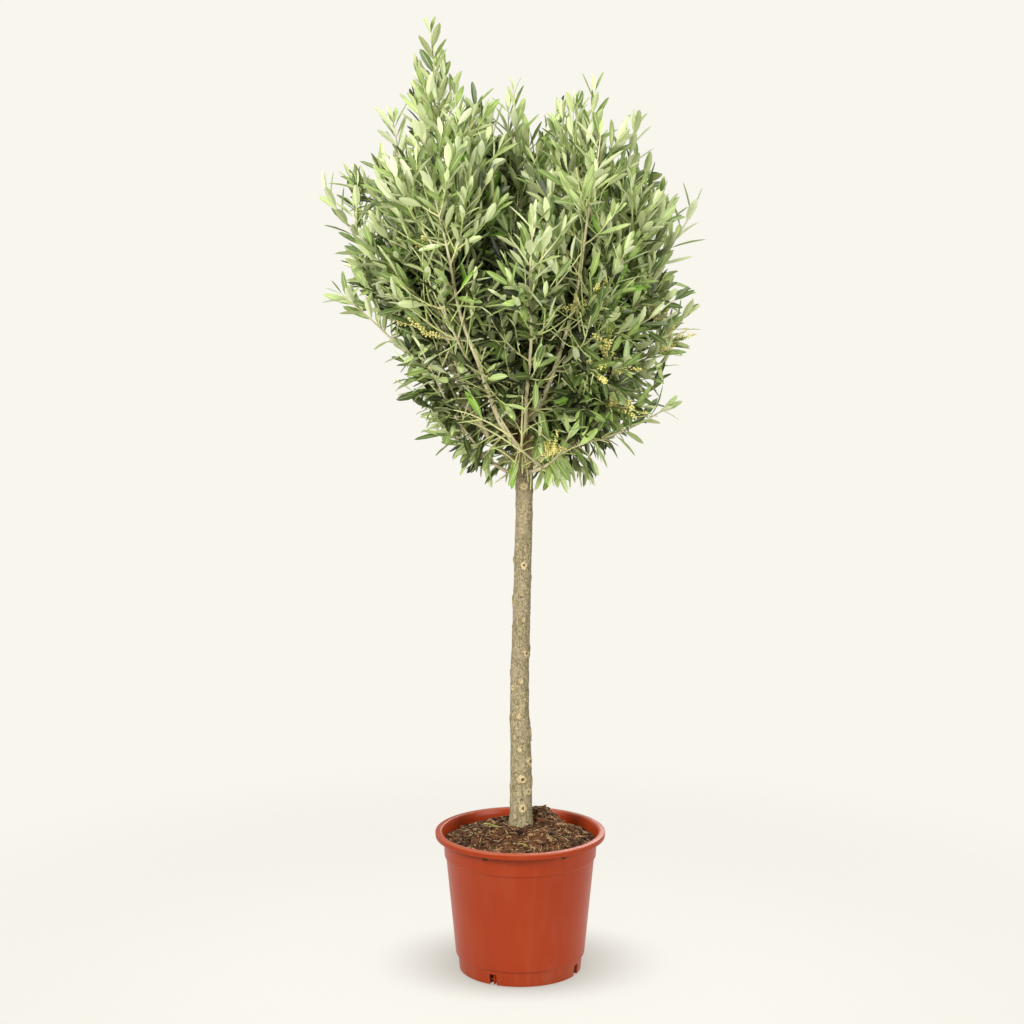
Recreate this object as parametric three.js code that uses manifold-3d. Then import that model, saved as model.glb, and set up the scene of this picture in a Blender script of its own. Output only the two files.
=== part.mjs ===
// A standard olive tree in a round nursery pot: a bare knotted stem on a filled pot, and a vase of
// limbs that carry an open, upright crown of narrow leaves.
// Millimetres, +Z up, -Y is the front. The origin is the centre of the pot's flat underside.

import * as THREE from "three";
import { mergeVertices } from "three/addons/utils/BufferGeometryUtils.js";
import Module from "manifold-3d";

const wasm = await Module();
wasm.setup();

// ---------------------------------------------------------------- driving dimensions

const GAP = 0.3; // clearance kept between two pieces that touch

// Pot: a thin moulded tub with a rolled lip, a collar below it and a set-in foot.
const POT_HEIGHT = 270;
const POT_WALL = 2.4;
const POT_FLOOR = 3;
const POT_FACETS = 36;
const LIP_RADIUS = 161;
const LIP_DROP = 11; // height of the lip's outer edge
const LIP_INNER_RADIUS = 148;
const COLLAR_TOP_RADIUS = 145.5;
const COLLAR_FOOT_RADIUS = 143.5;
const COLLAR_FOOT_HEIGHT = 222;
const BODY_TOP_RADIUS = 140.5;
const BODY_FOOT_RADIUS = 122.5;
const FOOT_HEIGHT = 29;
const FOOT_TOP_RADIUS = 118.5;
const FOOT_RADIUS = 115.5;
const STEP_RISE = 2.5; // height over which the wall steps in
const DRAIN = { count: 4, first: -115, width: 14.5, top: 20, depth: 18 }; // notches in the foot
const VENT = { count: 6, first: -117, width: 10.5, height: 3.4, depth: 16 }; // slots under the lip

// Root ball: fills the pot and mounds up round the stem.
const SOIL_EDGE_HEIGHT = 250;
const SOIL_TOP_HEIGHT = 280; // where the stem stands
const SOIL_SEAT_RADIUS = 31; // level patch under the stem
const SOIL_RINGS = 5;
const CLODS = { count: 22, seed: 41, height: 9, radius: 17 };

// Stem: [height, radius] and [height, sideways sway] down its length.
const STEM_FOOT = SOIL_TOP_HEIGHT;
const STEM_TIP = 1150;
const STEM_RADII = [
  [280, 24.5], [302, 22.3], [430, 21], [540, 18.8], [700, 16.9], [930, 15.6], [985, 16.4], [1050, 13.2],
  [1150, 9.5],
];
const STEM_SWAY = [
  [280, 1.5], [406, 1], [522, -1.5], [675, 2], [826, 5.5], [901, 7], [1150, 9],
];
const STEM_LEAN_BACK = 6; // how far the tip stands behind the foot
const STEM_FACETS = 12;
const STEM_RINGS = 52;
const KNOTS = { first: 305, last: 955, step: 24, turn: 104, seed: 7, height: 3.4, radius: 6.5 };

// Limbs: each springs from the stem at a height, or from the limb that it names at a share of that
// limb's length, and curves out and up to the tip of its leading shoot, given as [x, y, z]. Its
// elbow is the share of the way out and of the way up at which it turns upwards, its wood is the
// share of its length that is bare limb, and the mass of foliage named after it takes the rest.
const LIMBS = [
  { name: "front_left", at: 992, tip: [-165, -66, 1794], elbow: [0.6, 0.16], wood: 0.34, girth: 5.2 },
  { name: "left", at: 966, tip: [-236, -30, 1636], elbow: [0.62, 0.08], wood: 0.4, girth: 5.2 },
  { name: "left_middle", on: "left", at: 0.2, tip: [-356, -76, 1318], elbow: [0.5, 0.5], wood: 0.14, girth: 3.4 },
  { name: "left_high", on: "left", at: 0.3, tip: [-376, -34, 1506], elbow: [0.55, 0.5], wood: 0.12, girth: 3.2 },
  { name: "left_low", at: 940, tip: [-238, -90, 1092], elbow: [0.6, 0.28], wood: 0.14, girth: 4.2 },
  { name: "right", at: 1044, tip: [135, -70, 1690], elbow: [0.6, 0.13], wood: 0.3, girth: 5.4 },
  { name: "right_top", at: 1102, tip: [222, 44, 1632], elbow: [0.62, 0.2], wood: 0.26, girth: 4.4 },
  { name: "right_high", at: 1084, tip: [340, -14, 1484], elbow: [0.55, 0.3], wood: 0.26, girth: 4.6 },
  { name: "right_middle", at: 1018, tip: [330, -50, 1284], elbow: [0.5, 0.22], wood: 0.27, girth: 4.2 },
  { name: "right_low", at: 984, tip: [298, -70, 1098], elbow: [0.5, 0.2], wood: 0.14, girth: 4.4 },
  { name: "middle", at: STEM_TIP, tip: [-16, -30, 1688], elbow: [0.1, 0.5], wood: 0.06, girth: 8.6 },
  { name: "front", at: 1016, tip: [20, -296, 1470], elbow: [0.62, 0.24], wood: 0.26, girth: 4.6 },
  { name: "front_right", at: 1078, tip: [196, -230, 1410], elbow: [0.55, 0.28], wood: 0.26, girth: 4.2 },
  { name: "front_side", at: 1040, tip: [-184, -246, 1390], elbow: [0.6, 0.3], wood: 0.28, girth: 4.2 },
  { name: "front_low", at: 950, tip: [70, -232, 1092], elbow: [0.6, 0.2], wood: 0.14, girth: 4.2 },
  { name: "left_top", at: 1116, tip: [-88, 50, 1658], elbow: [0.6, 0.2], wood: 0.24, girth: 4 },
  { name: "back", at: 1086, tip: [10, 280, 1500], elbow: [0.58, 0.28], wood: 0.26, girth: 4.4 },
  { name: "back_left", at: 1022, tip: [-200, 220, 1420], elbow: [0.6, 0.24], wood: 0.27, girth: 4.6 },
  { name: "back_right", at: 1010, tip: [220, 216, 1370], elbow: [0.6, 0.24], wood: 0.27, girth: 4.6 },
  { name: "back_low", at: 972, tip: [-24, 232, 1096], elbow: [0.6, 0.2], wood: 0.14, girth: 4.2 },
];
const LIMB_FACETS = 6;
const LIMB_RINGS = 4;

// Foliage: shoots in opposite pairs along each leader, and opposite pairs of leaves along each
// shoot, every pair a quarter turn on from the last.
const SHOOT_STEP = 100; // between pairs of side shoots
const SHOOT_SPAN = [0.04, 0.8]; // shares of the leader between which side shoots spring
const SHOOT_LENGTH = 150; // at the foot of the leader, falling to its tip
const SHOOT_TIP_LENGTH = 70;
const SHOOT_LEAST = 40;
const SHOOT_ANGLE = 50; // degrees between a side shoot and the leader
const SHOOT_RISE = 0.25; // how far a side shoot is drawn upwards
const LEVEL_BELOW = 1160; // side shoots turn down more and more below this height
const SHOOT_RADIUS = 2.8;
const LIMB_TIP_RADIUS = 2.4; // where a leader meets its last leaf
const LEADER_STEP = 130; // between the bends of a leader
const BARE_LEADER = 0.3; // share of a leader, from its foot, that has no leaves of its own
const BARE_SHOOT = 0.2;
const LEAF_STEP = 60; // between pairs of leaves
const LEAF = { length: 108, width: 33, thickness: 2.6, broadest: 0.42 };
const LEAF_ANGLE = 42; // degrees between a leaf and its shoot
const LAST_LEAF_ANGLE = 5;
const LEAF_TRIES = 8;
const LEAF_SEAT = 0.8; // how far behind the shoot's axis a leaf is rooted
const DROOP_BELOW = 1250; // leaves hang more and more below this height
const SPACE_MARGIN = 3; // half the space kept between two masses
const CROWN_DEPTH = 0.92; // of the crown's width
const CROWN_REACH = [ // [height, furthest to the left, furthest to the right]
  [896, -64, 84], [930, -112, 165], [1000, -176, 240], [1080, -240, 312], [1200, -290, 325],
  [1300, -356, 340], [1500, -380, 345], [1560, -310, 268], [1640, -252, 244], [1700, -225, 150],
  [1800, -225, 150],
];
const LIMB_MARGIN = 1.2; // space kept round every limb
const BLOSSOM = { radius: 3.4, length: 46, stalk: 1.2, buds: 4 };
const BLOSSOM_ON = ["right_low", "right_middle", "front_low", "left_middle"];

const BARK = new THREE.MeshStandardMaterial({ color: 0xa8987a, roughness: 0.9, metalness: 0 });
const YOUNG_BARK = new THREE.MeshStandardMaterial({ color: 0xb3a585, roughness: 0.85, metalness: 0 });
const LEAVES = new THREE.MeshStandardMaterial({ color: 0x7f9160, roughness: 0.6, metalness: 0 });
const CLAY_PLASTIC = new THREE.MeshStandardMaterial({ color: 0xb1482a, roughness: 0.5, metalness: 0 });
const EARTH = new THREE.MeshStandardMaterial({ color: 0x5e3f28, roughness: 1, metalness: 0 });

// ---------------------------------------------------------------- helpers

const UP = new THREE.Vector3(0, 0, 1);
const TURN = Math.PI * 2;
const radians = (degrees) => (degrees * Math.PI) / 180;
const clamp01 = (x) => Math.min(1, Math.max(0, x));

// A repeatable stream of numbers between 0 and 1.
class Seeded {
  constructor(seed) {
    this.state = (seed * 2654435761) % 4294967296;
    for (let i = 0; i < 3; i += 1) this.next();
  }
  next() {
    this.state = (1664525 * this.state + 1013904223) % 4294967296;
    return this.state / 4294967296;
  }
  between(low, high) {
    return low + (high - low) * this.next();
  }
}

// A smooth value through [place, value] stations.
function through(stations, place) {
  const last = stations.length - 1;
  let i = 0;
  while (i < last - 1 && place > stations[i + 1][0]) i += 1;
  const [a, b] = [stations[i], stations[i + 1]];
  const before = stations[Math.max(i - 1, 0)];
  const after = stations[Math.min(i + 2, last)];
  const span = b[0] - a[0];
  const t = clamp01((place - a[0]) / span);
  const slopeA = ((b[1] - before[1]) / (b[0] - before[0])) * span;
  const slopeB = ((after[1] - a[1]) / (after[0] - a[0])) * span;
  const [t2, t3] = [t * t, t * t * t];
  return (
    (2 * t3 - 3 * t2 + 1) * a[1] + (t3 - 2 * t2 + t) * slopeA + (3 * t2 - 2 * t3) * b[1] + (t3 - t2) * slopeB
  );
}

function solidOf(geometry) {
  const bare = new THREE.BufferGeometry();
  const source = geometry.index ? geometry.toNonIndexed() : geometry;
  bare.setAttribute("position", source.getAttribute("position"));
  const merged = mergeVertices(bare, 1e-4);
  return new wasm.Manifold(
    new wasm.Mesh({
      numProp: 3,
      vertProperties: new Float32Array(merged.attributes.position.array),
      triVerts: new Uint32Array(merged.index.array),
    }),
  );
}

// The largest body of a solid, as a geometry: a loose scrap is dropped and a sealed hollow filled.
function geometryOf(solid) {
  const bodies = solid.decompose().sort((a, b) => b.volume() - a.volume());
  const mesh = bodies[0].getMesh();
  const places = new Float32Array(mesh.numVert * 3);
  for (let i = 0; i < mesh.numVert; i += 1) {
    places.set(mesh.vertProperties.subarray(i * mesh.numProp, i * mesh.numProp + 3), i * 3);
  }
  const geometry = new THREE.BufferGeometry();
  geometry.setAttribute("position", new THREE.BufferAttribute(places, 3));
  geometry.setIndex(new THREE.BufferAttribute(new Uint32Array(mesh.triVerts), 1));
  geometry.computeVertexNormals();
  return geometry;
}

function named(name, geometry, material) {
  const mesh = new THREE.Mesh(geometry, material);
  mesh.name = name;
  return mesh;
}

// A stretch of another curve, from one share of its length to another.
class Stretch extends THREE.Curve {
  constructor(curve, first, last) {
    super();
    Object.assign(this, { curve, first, last });
  }
  getPoint(t, target = new THREE.Vector3()) {
    return target.copy(this.curve.getPointAt(clamp01(this.first + (this.last - this.first) * t)));
  }
}

// A round bar of changing radius, bent along a curve, with flat ends.
function bentBar(curve, radiusAt, facets, rings) {
  const bar = new THREE.CylinderGeometry(1, 1, 1, facets, rings);
  const points = curve.getSpacedPoints(rings);
  const { normals, binormals } = curve.computeFrenetFrames(rings, false);
  const place = bar.attributes.position;
  const moved = new THREE.Vector3();
  for (let i = 0; i < place.count; i += 1) {
    const ring = Math.round((place.getY(i) + 0.5) * rings);
    const radius = radiusAt(ring / rings);
    moved.copy(points[ring]);
    moved.addScaledVector(normals[ring], place.getX(i) * radius);
    moved.addScaledVector(binormals[ring], -place.getZ(i) * radius);
    place.setXYZ(i, moved.x, moved.y, moved.z);
  }
  return bar;
}

// ---------------------------------------------------------------- pot and root ball

const wallOutside = [
  [FOOT_RADIUS - 2, 0],
  [FOOT_RADIUS, 2],
  [FOOT_TOP_RADIUS, FOOT_HEIGHT],
  [BODY_FOOT_RADIUS, FOOT_HEIGHT + STEP_RISE],
  [BODY_TOP_RADIUS, COLLAR_FOOT_HEIGHT - STEP_RISE],
  [COLLAR_FOOT_RADIUS, COLLAR_FOOT_HEIGHT],
];

// The same wall taken in by a distance, from the pot's floor up.
function wallInside(inset, floor) {
  const [, , footTop, bodyFoot, bodyTop, collarFoot] = wallOutside;
  return [
    [FOOT_RADIUS - inset, floor],
    [footTop[0] - inset, footTop[1] + inset],
    [bodyFoot[0] - inset, bodyFoot[1] + inset],
    [bodyTop[0] - inset, bodyTop[1] + inset],
    [collarFoot[0] - inset, collarFoot[1] + inset],
  ];
}

function turned(profile) {
  const lathe = new THREE.LatheGeometry(profile.map(([r, z]) => new THREE.Vector2(r, z)), POT_FACETS);
  lathe.rotateX(Math.PI / 2);
  return lathe;
}

// Boxes set round the pot's axis, each reaching inwards from a radius.
function slotsAround({ count, first, width, depth }, radius, bottom, top) {
  return Array.from({ length: count }, (_, i) => {
    const box = new THREE.BoxGeometry(depth, width, top - bottom);
    box.translate(radius - depth / 2, 0, (top + bottom) / 2);
    box.rotateZ(radians(first + (i * 360) / count));
    return solidOf(box);
  });
}

function potGeometry() {
  const lipFoot = POT_HEIGHT - LIP_DROP;
  const lip = [
    [COLLAR_TOP_RADIUS, lipFoot + 1],
    [LIP_RADIUS - 3, lipFoot],
    [LIP_RADIUS, lipFoot + 3],
    [LIP_RADIUS, POT_HEIGHT - 4],
    [LIP_RADIUS - 4, POT_HEIGHT - 0.5],
    [LIP_RADIUS - 8, POT_HEIGHT],
    [LIP_INNER_RADIUS + 1, POT_HEIGHT - 1],
    [LIP_INNER_RADIUS - 1, POT_HEIGHT - 4],
    [COLLAR_TOP_RADIUS - POT_WALL, lipFoot],
  ];
  const inside = wallInside(POT_WALL, POT_FLOOR).reverse();
  const tub = solidOf(turned([[0, 0], ...wallOutside, ...lip, ...inside, [0, POT_FLOOR]]));
  const drains = slotsAround(DRAIN, FOOT_RADIUS + 6, -1, DRAIN.top);
  const vents = slotsAround(VENT, COLLAR_TOP_RADIUS + 3, lipFoot - VENT.height - 1, lipFoot - 1);
  return geometryOf([...drains, ...vents].reduce((pot, slot) => pot.subtract(slot), tub));
}

// Height of the earth at a place: a mound with clods on it, level under the stem.
const clods = (() => {
  const seeded = new Seeded(CLODS.seed);
  return Array.from({ length: CLODS.count }, () => {
    const angle = seeded.between(0, TURN);
    const out = seeded.between(0.25, 0.85) * BODY_TOP_RADIUS;
    const height = CLODS.height * seeded.between(0.3, 1);
    const radius = CLODS.radius * seeded.between(0.7, 1.3);
    return { x: out * Math.cos(angle), y: out * Math.sin(angle), height, radius };
  });
})();

function soilHeight(x, y) {
  const edge = BODY_TOP_RADIUS;
  const out = clamp01((Math.hypot(x, y) - SOIL_SEAT_RADIUS) / (edge - SOIL_SEAT_RADIUS));
  const mound = SOIL_TOP_HEIGHT - GAP + (SOIL_EDGE_HEIGHT - SOIL_TOP_HEIGHT) * out * out * (3 - 2 * out);
  const lumps = clods.reduce(
    (sum, c) => sum + c.height * Math.exp(-((x - c.x) ** 2 + (y - c.y) ** 2) / c.radius ** 2),
    0,
  );
  return mound + lumps * Math.sin(Math.PI * Math.sqrt(out));
}

function soilGeometry() {
  const inset = POT_WALL + GAP;
  const walls = wallInside(inset, POT_FLOOR + GAP);
  const brim = [COLLAR_TOP_RADIUS - inset - 1, SOIL_EDGE_HEIGHT];
  const rings = Array.from({ length: SOIL_RINGS }, (_, i) => {
    const share = 1 - (i + 1) / (SOIL_RINGS + 1);
    return [SOIL_SEAT_RADIUS + (brim[0] - SOIL_SEAT_RADIUS) * share, SOIL_TOP_HEIGHT];
  });
  const seat = [SOIL_SEAT_RADIUS, SOIL_TOP_HEIGHT];
  const profile = [[0, walls[0][1]], ...walls, brim, ...rings, seat, [0, SOIL_TOP_HEIGHT]];
  const ball = turned(profile);
  const place = ball.attributes.position;
  for (let i = 0; i < place.count; i += 1) {
    if (place.getZ(i) < SOIL_TOP_HEIGHT - 1e-3) continue;
    place.setZ(i, soilHeight(place.getX(i), place.getY(i)));
  }
  return geometryOf(solidOf(ball));
}

// ---------------------------------------------------------------- stem

const stemCentre = (z) =>
  new THREE.Vector3(through(STEM_SWAY, z), (STEM_LEAN_BACK * (z - STEM_FOOT)) / (STEM_TIP - STEM_FOOT), z);

// Scars of pruned shoots, each a low boss on the bark.
const knots = (() => {
  const seeded = new Seeded(KNOTS.seed);
  const made = [];
  for (let z = KNOTS.first; z < KNOTS.last; z += KNOTS.step) {
    const angle = radians(made.length * KNOTS.turn + seeded.between(-25, 25));
    made.push({ z: z + seeded.between(-8, 8), angle, height: KNOTS.height * seeded.between(0.4, 1) });
  }
  return made;
})();

function stemRadius(z, angle) {
  const smooth = through(STEM_RADII, z);
  return knots.reduce((radius, knot) => {
    const turn = Math.atan2(Math.sin(angle - knot.angle), Math.cos(angle - knot.angle));
    const away = Math.hypot(z - knot.z, turn * smooth) / KNOTS.radius;
    return radius + knot.height * Math.exp(-away * away);
  }, smooth);
}

function stemSolid(grow) {
  const bar = new THREE.CylinderGeometry(1, 1, 1, STEM_FACETS, STEM_RINGS);
  bar.rotateX(Math.PI / 2);
  const place = bar.attributes.position;
  for (let i = 0; i < place.count; i += 1) {
    const [x, y] = [place.getX(i), place.getY(i)];
    const z = STEM_FOOT + (STEM_TIP - STEM_FOOT) * (place.getZ(i) + 0.5);
    const radius = Math.hypot(x, y) * (stemRadius(z, Math.atan2(y, x)) + grow);
    const angle = Math.atan2(y, x);
    const centre = stemCentre(z);
    const rise = grow && place.getZ(i) > 0.4999 ? grow : 0;
    place.setXYZ(i, centre.x + radius * Math.cos(angle), centre.y + radius * Math.sin(angle), z + rise);
  }
  return solidOf(bar);
}

// ---------------------------------------------------------------- limbs

const limbs = new Map();
for (const row of LIMBS) {
  const parent = limbs.get(row.on);
  const start = parent ? parent.curve.getPointAt(row.at) : stemCentre(row.at);
  const tip = new THREE.Vector3(...row.tip);
  const elbow = new THREE.Vector3(
    start.x + (tip.x - start.x) * row.elbow[0],
    start.y + (tip.y - start.y) * row.elbow[0],
    start.z + (tip.z - start.z) * row.elbow[1],
  );
  const curve = new THREE.QuadraticBezierCurve3(start, elbow, tip);
  const onTop = row.at === STEM_TIP; // the leading limb goes on from the stem's own tip
  const first = onTop ? GAP / curve.getLength() : 0;
  const radiusAt = (share) => row.girth + (LIMB_TIP_RADIUS - row.girth) * clamp01(share) ** 0.7;
  limbs.set(row.name, { ...row, parent, curve, onTop, first, length: curve.getLength(), radiusAt });
}

function limbSolid(limb, grow) {
  const stretch = new Stretch(limb.curve, limb.first, limb.wood + grow / limb.length);
  const radiusAt = (t) => limb.radiusAt(limb.first + (limb.wood - limb.first) * t) + grow;
  return solidOf(bentBar(stretch, radiusAt, LIMB_FACETS, LIMB_RINGS));
}

function limbGeometry(limb) {
  if (limb.onTop) return geometryOf(limbSolid(limb, 0));
  const carrier = limb.parent ? limbSolid(limb.parent, GAP) : stemSolid(GAP);
  return geometryOf(limbSolid(limb, 0).subtract(carrier));
}

// What foliage keeps clear of: points down every limb and the stem, each with its radius.
const obstacles = [];
for (let z = STEM_FOOT; z <= STEM_TIP; z += 8) {
  obstacles.push({ at: stemCentre(z), radius: through(STEM_RADII, z) + KNOTS.height });
}
for (const limb of limbs.values()) {
  const count = Math.ceil((limb.length * limb.wood) / 5);
  for (let i = 0; i < count; i += 1) {
    const share = (limb.wood * i) / (count - 1);
    obstacles.push({ at: limb.curve.getPointAt(share), radius: limb.radiusAt(share) + 1 });
  }
}

// ---------------------------------------------------------------- foliage

// Points along each mass's leader, which stand for the space that the mass holds.
const leaders = [...limbs.values()].map((limb) => new Stretch(limb.curve, limb.wood, 1).getSpacedPoints(6));

function distanceToLeader(point, leader) {
  let nearest = Infinity;
  for (let i = 0; i + 1 < leader.length; i += 1) {
    const along = new THREE.Vector3().subVectors(leader[i + 1], leader[i]);
    const t = clamp01(new THREE.Vector3().subVectors(point, leader[i]).dot(along) / along.lengthSq());
    nearest = Math.min(nearest, along.multiplyScalar(t).add(leader[i]).distanceTo(point));
  }
  return nearest;
}

function inCrown({ x, y, z }) {
  const above = CROWN_REACH.findIndex(([height]) => height > z);
  if (above < 1) return false;
  const [low, high] = [CROWN_REACH[above - 1], CROWN_REACH[above]];
  const t = (z - low[0]) / (high[0] - low[0]);
  const [left, right] = [low[1] + (high[1] - low[1]) * t, low[2] + (high[2] - low[2]) * t];
  const half = (right - left) / 2;
  return Math.hypot((x - (left + right) / 2) / half, y / (half * CROWN_DEPTH)) < 1;
}

function inSpace(point, index) {
  if (!inCrown(point)) return false;
  const own = distanceToLeader(point, leaders[index]) + 2 * SPACE_MARGIN;
  return leaders.every((leader, i) => i === index || own < distanceToLeader(point, leader));
}

function clearOfLimbs(point, reach) {
  return obstacles.every(({ at, radius }) => at.distanceTo(point) > radius + reach + LIMB_MARGIN);
}

// A thin eight-faced blade from its root along a direction, its upper side facing `face`.
function leafGeometry(root, along, face, size) {
  const blade = new THREE.OctahedronGeometry(1, 0);
  const across = new THREE.Vector3().crossVectors(face, along).normalize();
  const normal = new THREE.Vector3().crossVectors(along, across).normalize();
  const place = blade.attributes.position;
  const length = LEAF.length * size;
  for (let i = 0; i < place.count; i += 1) {
    const [x, y, z] = [place.getX(i), place.getY(i), place.getZ(i)];
    const reach = x < 0 ? -LEAF_SEAT : x > 0 ? length : length * LEAF.broadest;
    const moved = root.clone().addScaledVector(along, reach);
    moved.addScaledVector(across, (y * LEAF.width * size) / 2);
    moved.addScaledVector(normal, (z * LEAF.thickness) / 2);
    place.setXYZ(i, moved.x, moved.y, moved.z);
  }
  return blade;
}

// Whether a blade keeps to its mass's space, and clear of the limbs all along.
function leafFits(root, along, face, size, index) {
  const across = new THREE.Vector3().crossVectors(face, along).normalize();
  const at = (share, sideways) =>
    root.clone().addScaledVector(along, LEAF.length * size * share).addScaledVector(across, sideways);
  const half = (LEAF.width * size) / 2;
  const outline = [at(0.2, 0), at(LEAF.broadest, half), at(LEAF.broadest, -half), at(0.72, 0), at(1, 0)];
  if (!outline.every((point) => inSpace(point, index))) return false;
  return [0.15, 0.3, LEAF.broadest, 0.7, 1].every((share) => {
    const width = share < LEAF.broadest ? share / LEAF.broadest : (1 - share) / (1 - LEAF.broadest);
    return clearOfLimbs(at(share, 0), half * width);
  });
}

// A direction square to a shoot, turned about it.
function aside(tangent, turn) {
  const level = Math.abs(tangent.z) > 0.95 ? new THREE.Vector3(1, 0, 0) : UP;
  return new THREE.Vector3().crossVectors(level, tangent).normalize().applyAxisAngle(tangent, turn);
}

// The direction at an angle from a shoot, on one side of it.
function leaning(tangent, side, degrees) {
  const angle = radians(degrees);
  return tangent.clone().multiplyScalar(Math.cos(angle)).addScaledVector(side, Math.sin(angle));
}

function drooped(direction, height, seeded) {
  const droop = clamp01((DROOP_BELOW - height) / 300) * seeded.between(0.2, 1);
  return direction.addScaledVector(UP, -droop).normalize();
}

// A leaf on a shoot, turned anew and a little smaller at each try until it fits its space.
function leafThatFits(curve, share, phase, spread, index, seeded) {
  const [root, tangent] = [curve.getPointAt(share), curve.getTangentAt(share)];
  for (let attempt = 0; attempt < LEAF_TRIES; attempt += 1) {
    const side = aside(tangent, phase + seeded.between(-0.6, 0.6) * Math.min(attempt, 3));
    const along = drooped(leaning(tangent, side, spread * seeded.between(0.7, 1.3)), root.z, seeded);
    const size = seeded.between(0.9, 1.08) * (1 - (0.4 * attempt) / LEAF_TRIES);
    const face = spread === LEAF_ANGLE ? tangent : side;
    if (leafFits(root, along, face, size, index)) return [solidOf(leafGeometry(root, along, face, size))];
  }
  return [];
}

// Opposite pairs of leaves up a shoot, with a last leaf that carries on its line.
function leavesOn(curve, first, index, seeded) {
  const length = curve.getLength();
  const pairs = Math.max(1, Math.round((length * (1 - first)) / LEAF_STEP));
  const phase = seeded.between(0, TURN);
  const made = [];
  for (let i = 0; i < pairs; i += 1) {
    const share = first + ((1 - first) * (i + 0.5)) / pairs;
    for (const half of [0, TURN / 2]) {
      made.push(...leafThatFits(curve, share, phase + i * (TURN / 4) + half, LEAF_ANGLE, index, seeded));
    }
  }
  made.push(...leafThatFits(curve, 0.985, phase, LAST_LEAF_ANGLE, index, seeded));
  return made;
}

// A side shoot that leaves its leader at an angle, drawn upwards, or down near the crown's foot.
function shootCurve(start, direction, length) {
  const rise = SHOOT_RISE * (1 - 3 * clamp01((LEVEL_BELOW - start.z) / 150));
  const drawn = direction.clone().addScaledVector(UP, rise).normalize();
  return new THREE.LineCurve3(start, start.clone().addScaledVector(drawn, length));
}

// A shoot as long as asked, or shortened until it keeps to its mass's space and clear of limbs.
function longestFit(start, direction, reach, index) {
  for (let length = reach; length > SHOOT_LEAST; length *= 0.8) {
    const curve = shootCurve(start, direction, length);
    const outside = curve.getSpacedPoints(8).slice(2);
    if (outside.every((point) => inSpace(point, index) && clearOfLimbs(point, SHOOT_RADIUS))) return curve;
  }
  return null;
}

// A short spike of buds beside a shoot, where its space has room for one.
function blossomOn(start, direction, index) {
  const stalk = longestFit(start, direction, BLOSSOM.length, index);
  if (!stalk) return [];
  const pieces = [bentBar(stalk, () => BLOSSOM.stalk, 3, 1)];
  for (let i = 1; i <= BLOSSOM.buds; i += 1) {
    const bud = new THREE.OctahedronGeometry(BLOSSOM.radius, 0);
    pieces.push(bud.translate(...stalk.getPointAt((0.94 * i) / BLOSSOM.buds).toArray()));
  }
  return pieces.map(solidOf);
}

// The leader goes on from the end of the bare limb, and its last leaf reaches the limb's tip. It is
// straight between its bends, so that what is rooted on it meets its faces.
function leaderCurve(limb) {
  const last = 1 - (LEAF.length * 0.95) / limb.length;
  const smooth = new Stretch(limb.curve, limb.wood, last);
  const bends = Math.max(2, Math.round(smooth.getLength() / LEADER_STEP));
  const points = smooth.getSpacedPoints(bends);
  const bent = new THREE.CurvePath();
  for (let i = 0; i < bends; i += 1) bent.add(new THREE.LineCurve3(points[i], points[i + 1]));
  return Object.assign(bent, { bends });
}

function massGeometry(limb, index) {
  const seeded = new Seeded(100 + index);
  const stem = leaderCurve(limb);
  const taper = (t) => limb.radiusAt(limb.wood + (1 - limb.wood) * t);
  const leader = bentBar(stem, taper, 3, stem.bends);
  const parts = [solidOf(leader), ...leavesOn(stem, BARE_LEADER, index, seeded)];
  const length = stem.getLength();
  const [firstShoot, lastShoot] = SHOOT_SPAN;
  const pairs = Math.max(2, Math.round((length * lastShoot) / SHOOT_STEP));
  const phase = seeded.between(0, TURN);
  for (let i = 0; i < pairs; i += 1) {
    const share = firstShoot + ((lastShoot - firstShoot) * i) / (pairs - 1);
    const [start, tangent] = [stem.getPointAt(share), stem.getTangentAt(share)];
    for (const half of [0, TURN / 2]) {
      const side = aside(tangent, phase + i * (TURN / 4) + half);
      const direction = leaning(tangent, side, SHOOT_ANGLE + seeded.between(-10, 14));
      const reach = (SHOOT_LENGTH + (SHOOT_TIP_LENGTH - SHOOT_LENGTH) * share) * seeded.between(0.8, 1.15);
      const shoot = longestFit(start, direction, reach, index);
      const leaves = shoot ? leavesOn(shoot, BARE_SHOOT, index, seeded) : [];
      if (!leaves.length) continue;
      parts.push(solidOf(bentBar(shoot, (t) => SHOOT_RADIUS * (1 - 0.3 * t), 3, 1)), ...leaves);
      if (i === 1 && BLOSSOM_ON.includes(limb.name)) {
        parts.push(...blossomOn(shoot.getPointAt(0.5), leaning(shoot.getTangentAt(0.5), side, 30), index));
      }
    }
  }
  return geometryOf(wasm.Manifold.union(parts).subtract(limbSolid(limb, GAP)));
}

// ---------------------------------------------------------------- assembly

const plant = new THREE.Group();
plant.add(named("pot", potGeometry(), CLAY_PLASTIC));
plant.add(named("soil", soilGeometry(), EARTH));
plant.add(named("trunk", geometryOf(stemSolid(0)), BARK));
[...limbs.values()].forEach((limb, index) => {
  plant.add(named(`bough_${limb.name}`, limbGeometry(limb), YOUNG_BARK));
  plant.add(named(`foliage_${limb.name}`, massGeometry(limb, index), LEAVES));
});

export default plant;
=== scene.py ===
"""Dresses the packed frame of a standard olive tree in its round nursery pot.

Metres, +Z up, -Y is the front. Every piece is modelled where it stands, in the frame's own space,
with its object at the origin. The limbs, shoots and leaves follow the growth rule of the frame's
solids, carried on to finer twigs and to leaves of their true size.
"""

import functools
import math

import bmesh
import bpy
import numpy as np
from bpy.props import FloatProperty, FloatVectorProperty, IntProperty, PointerProperty
from mathutils import Matrix, Vector, kdtree, noise


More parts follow.
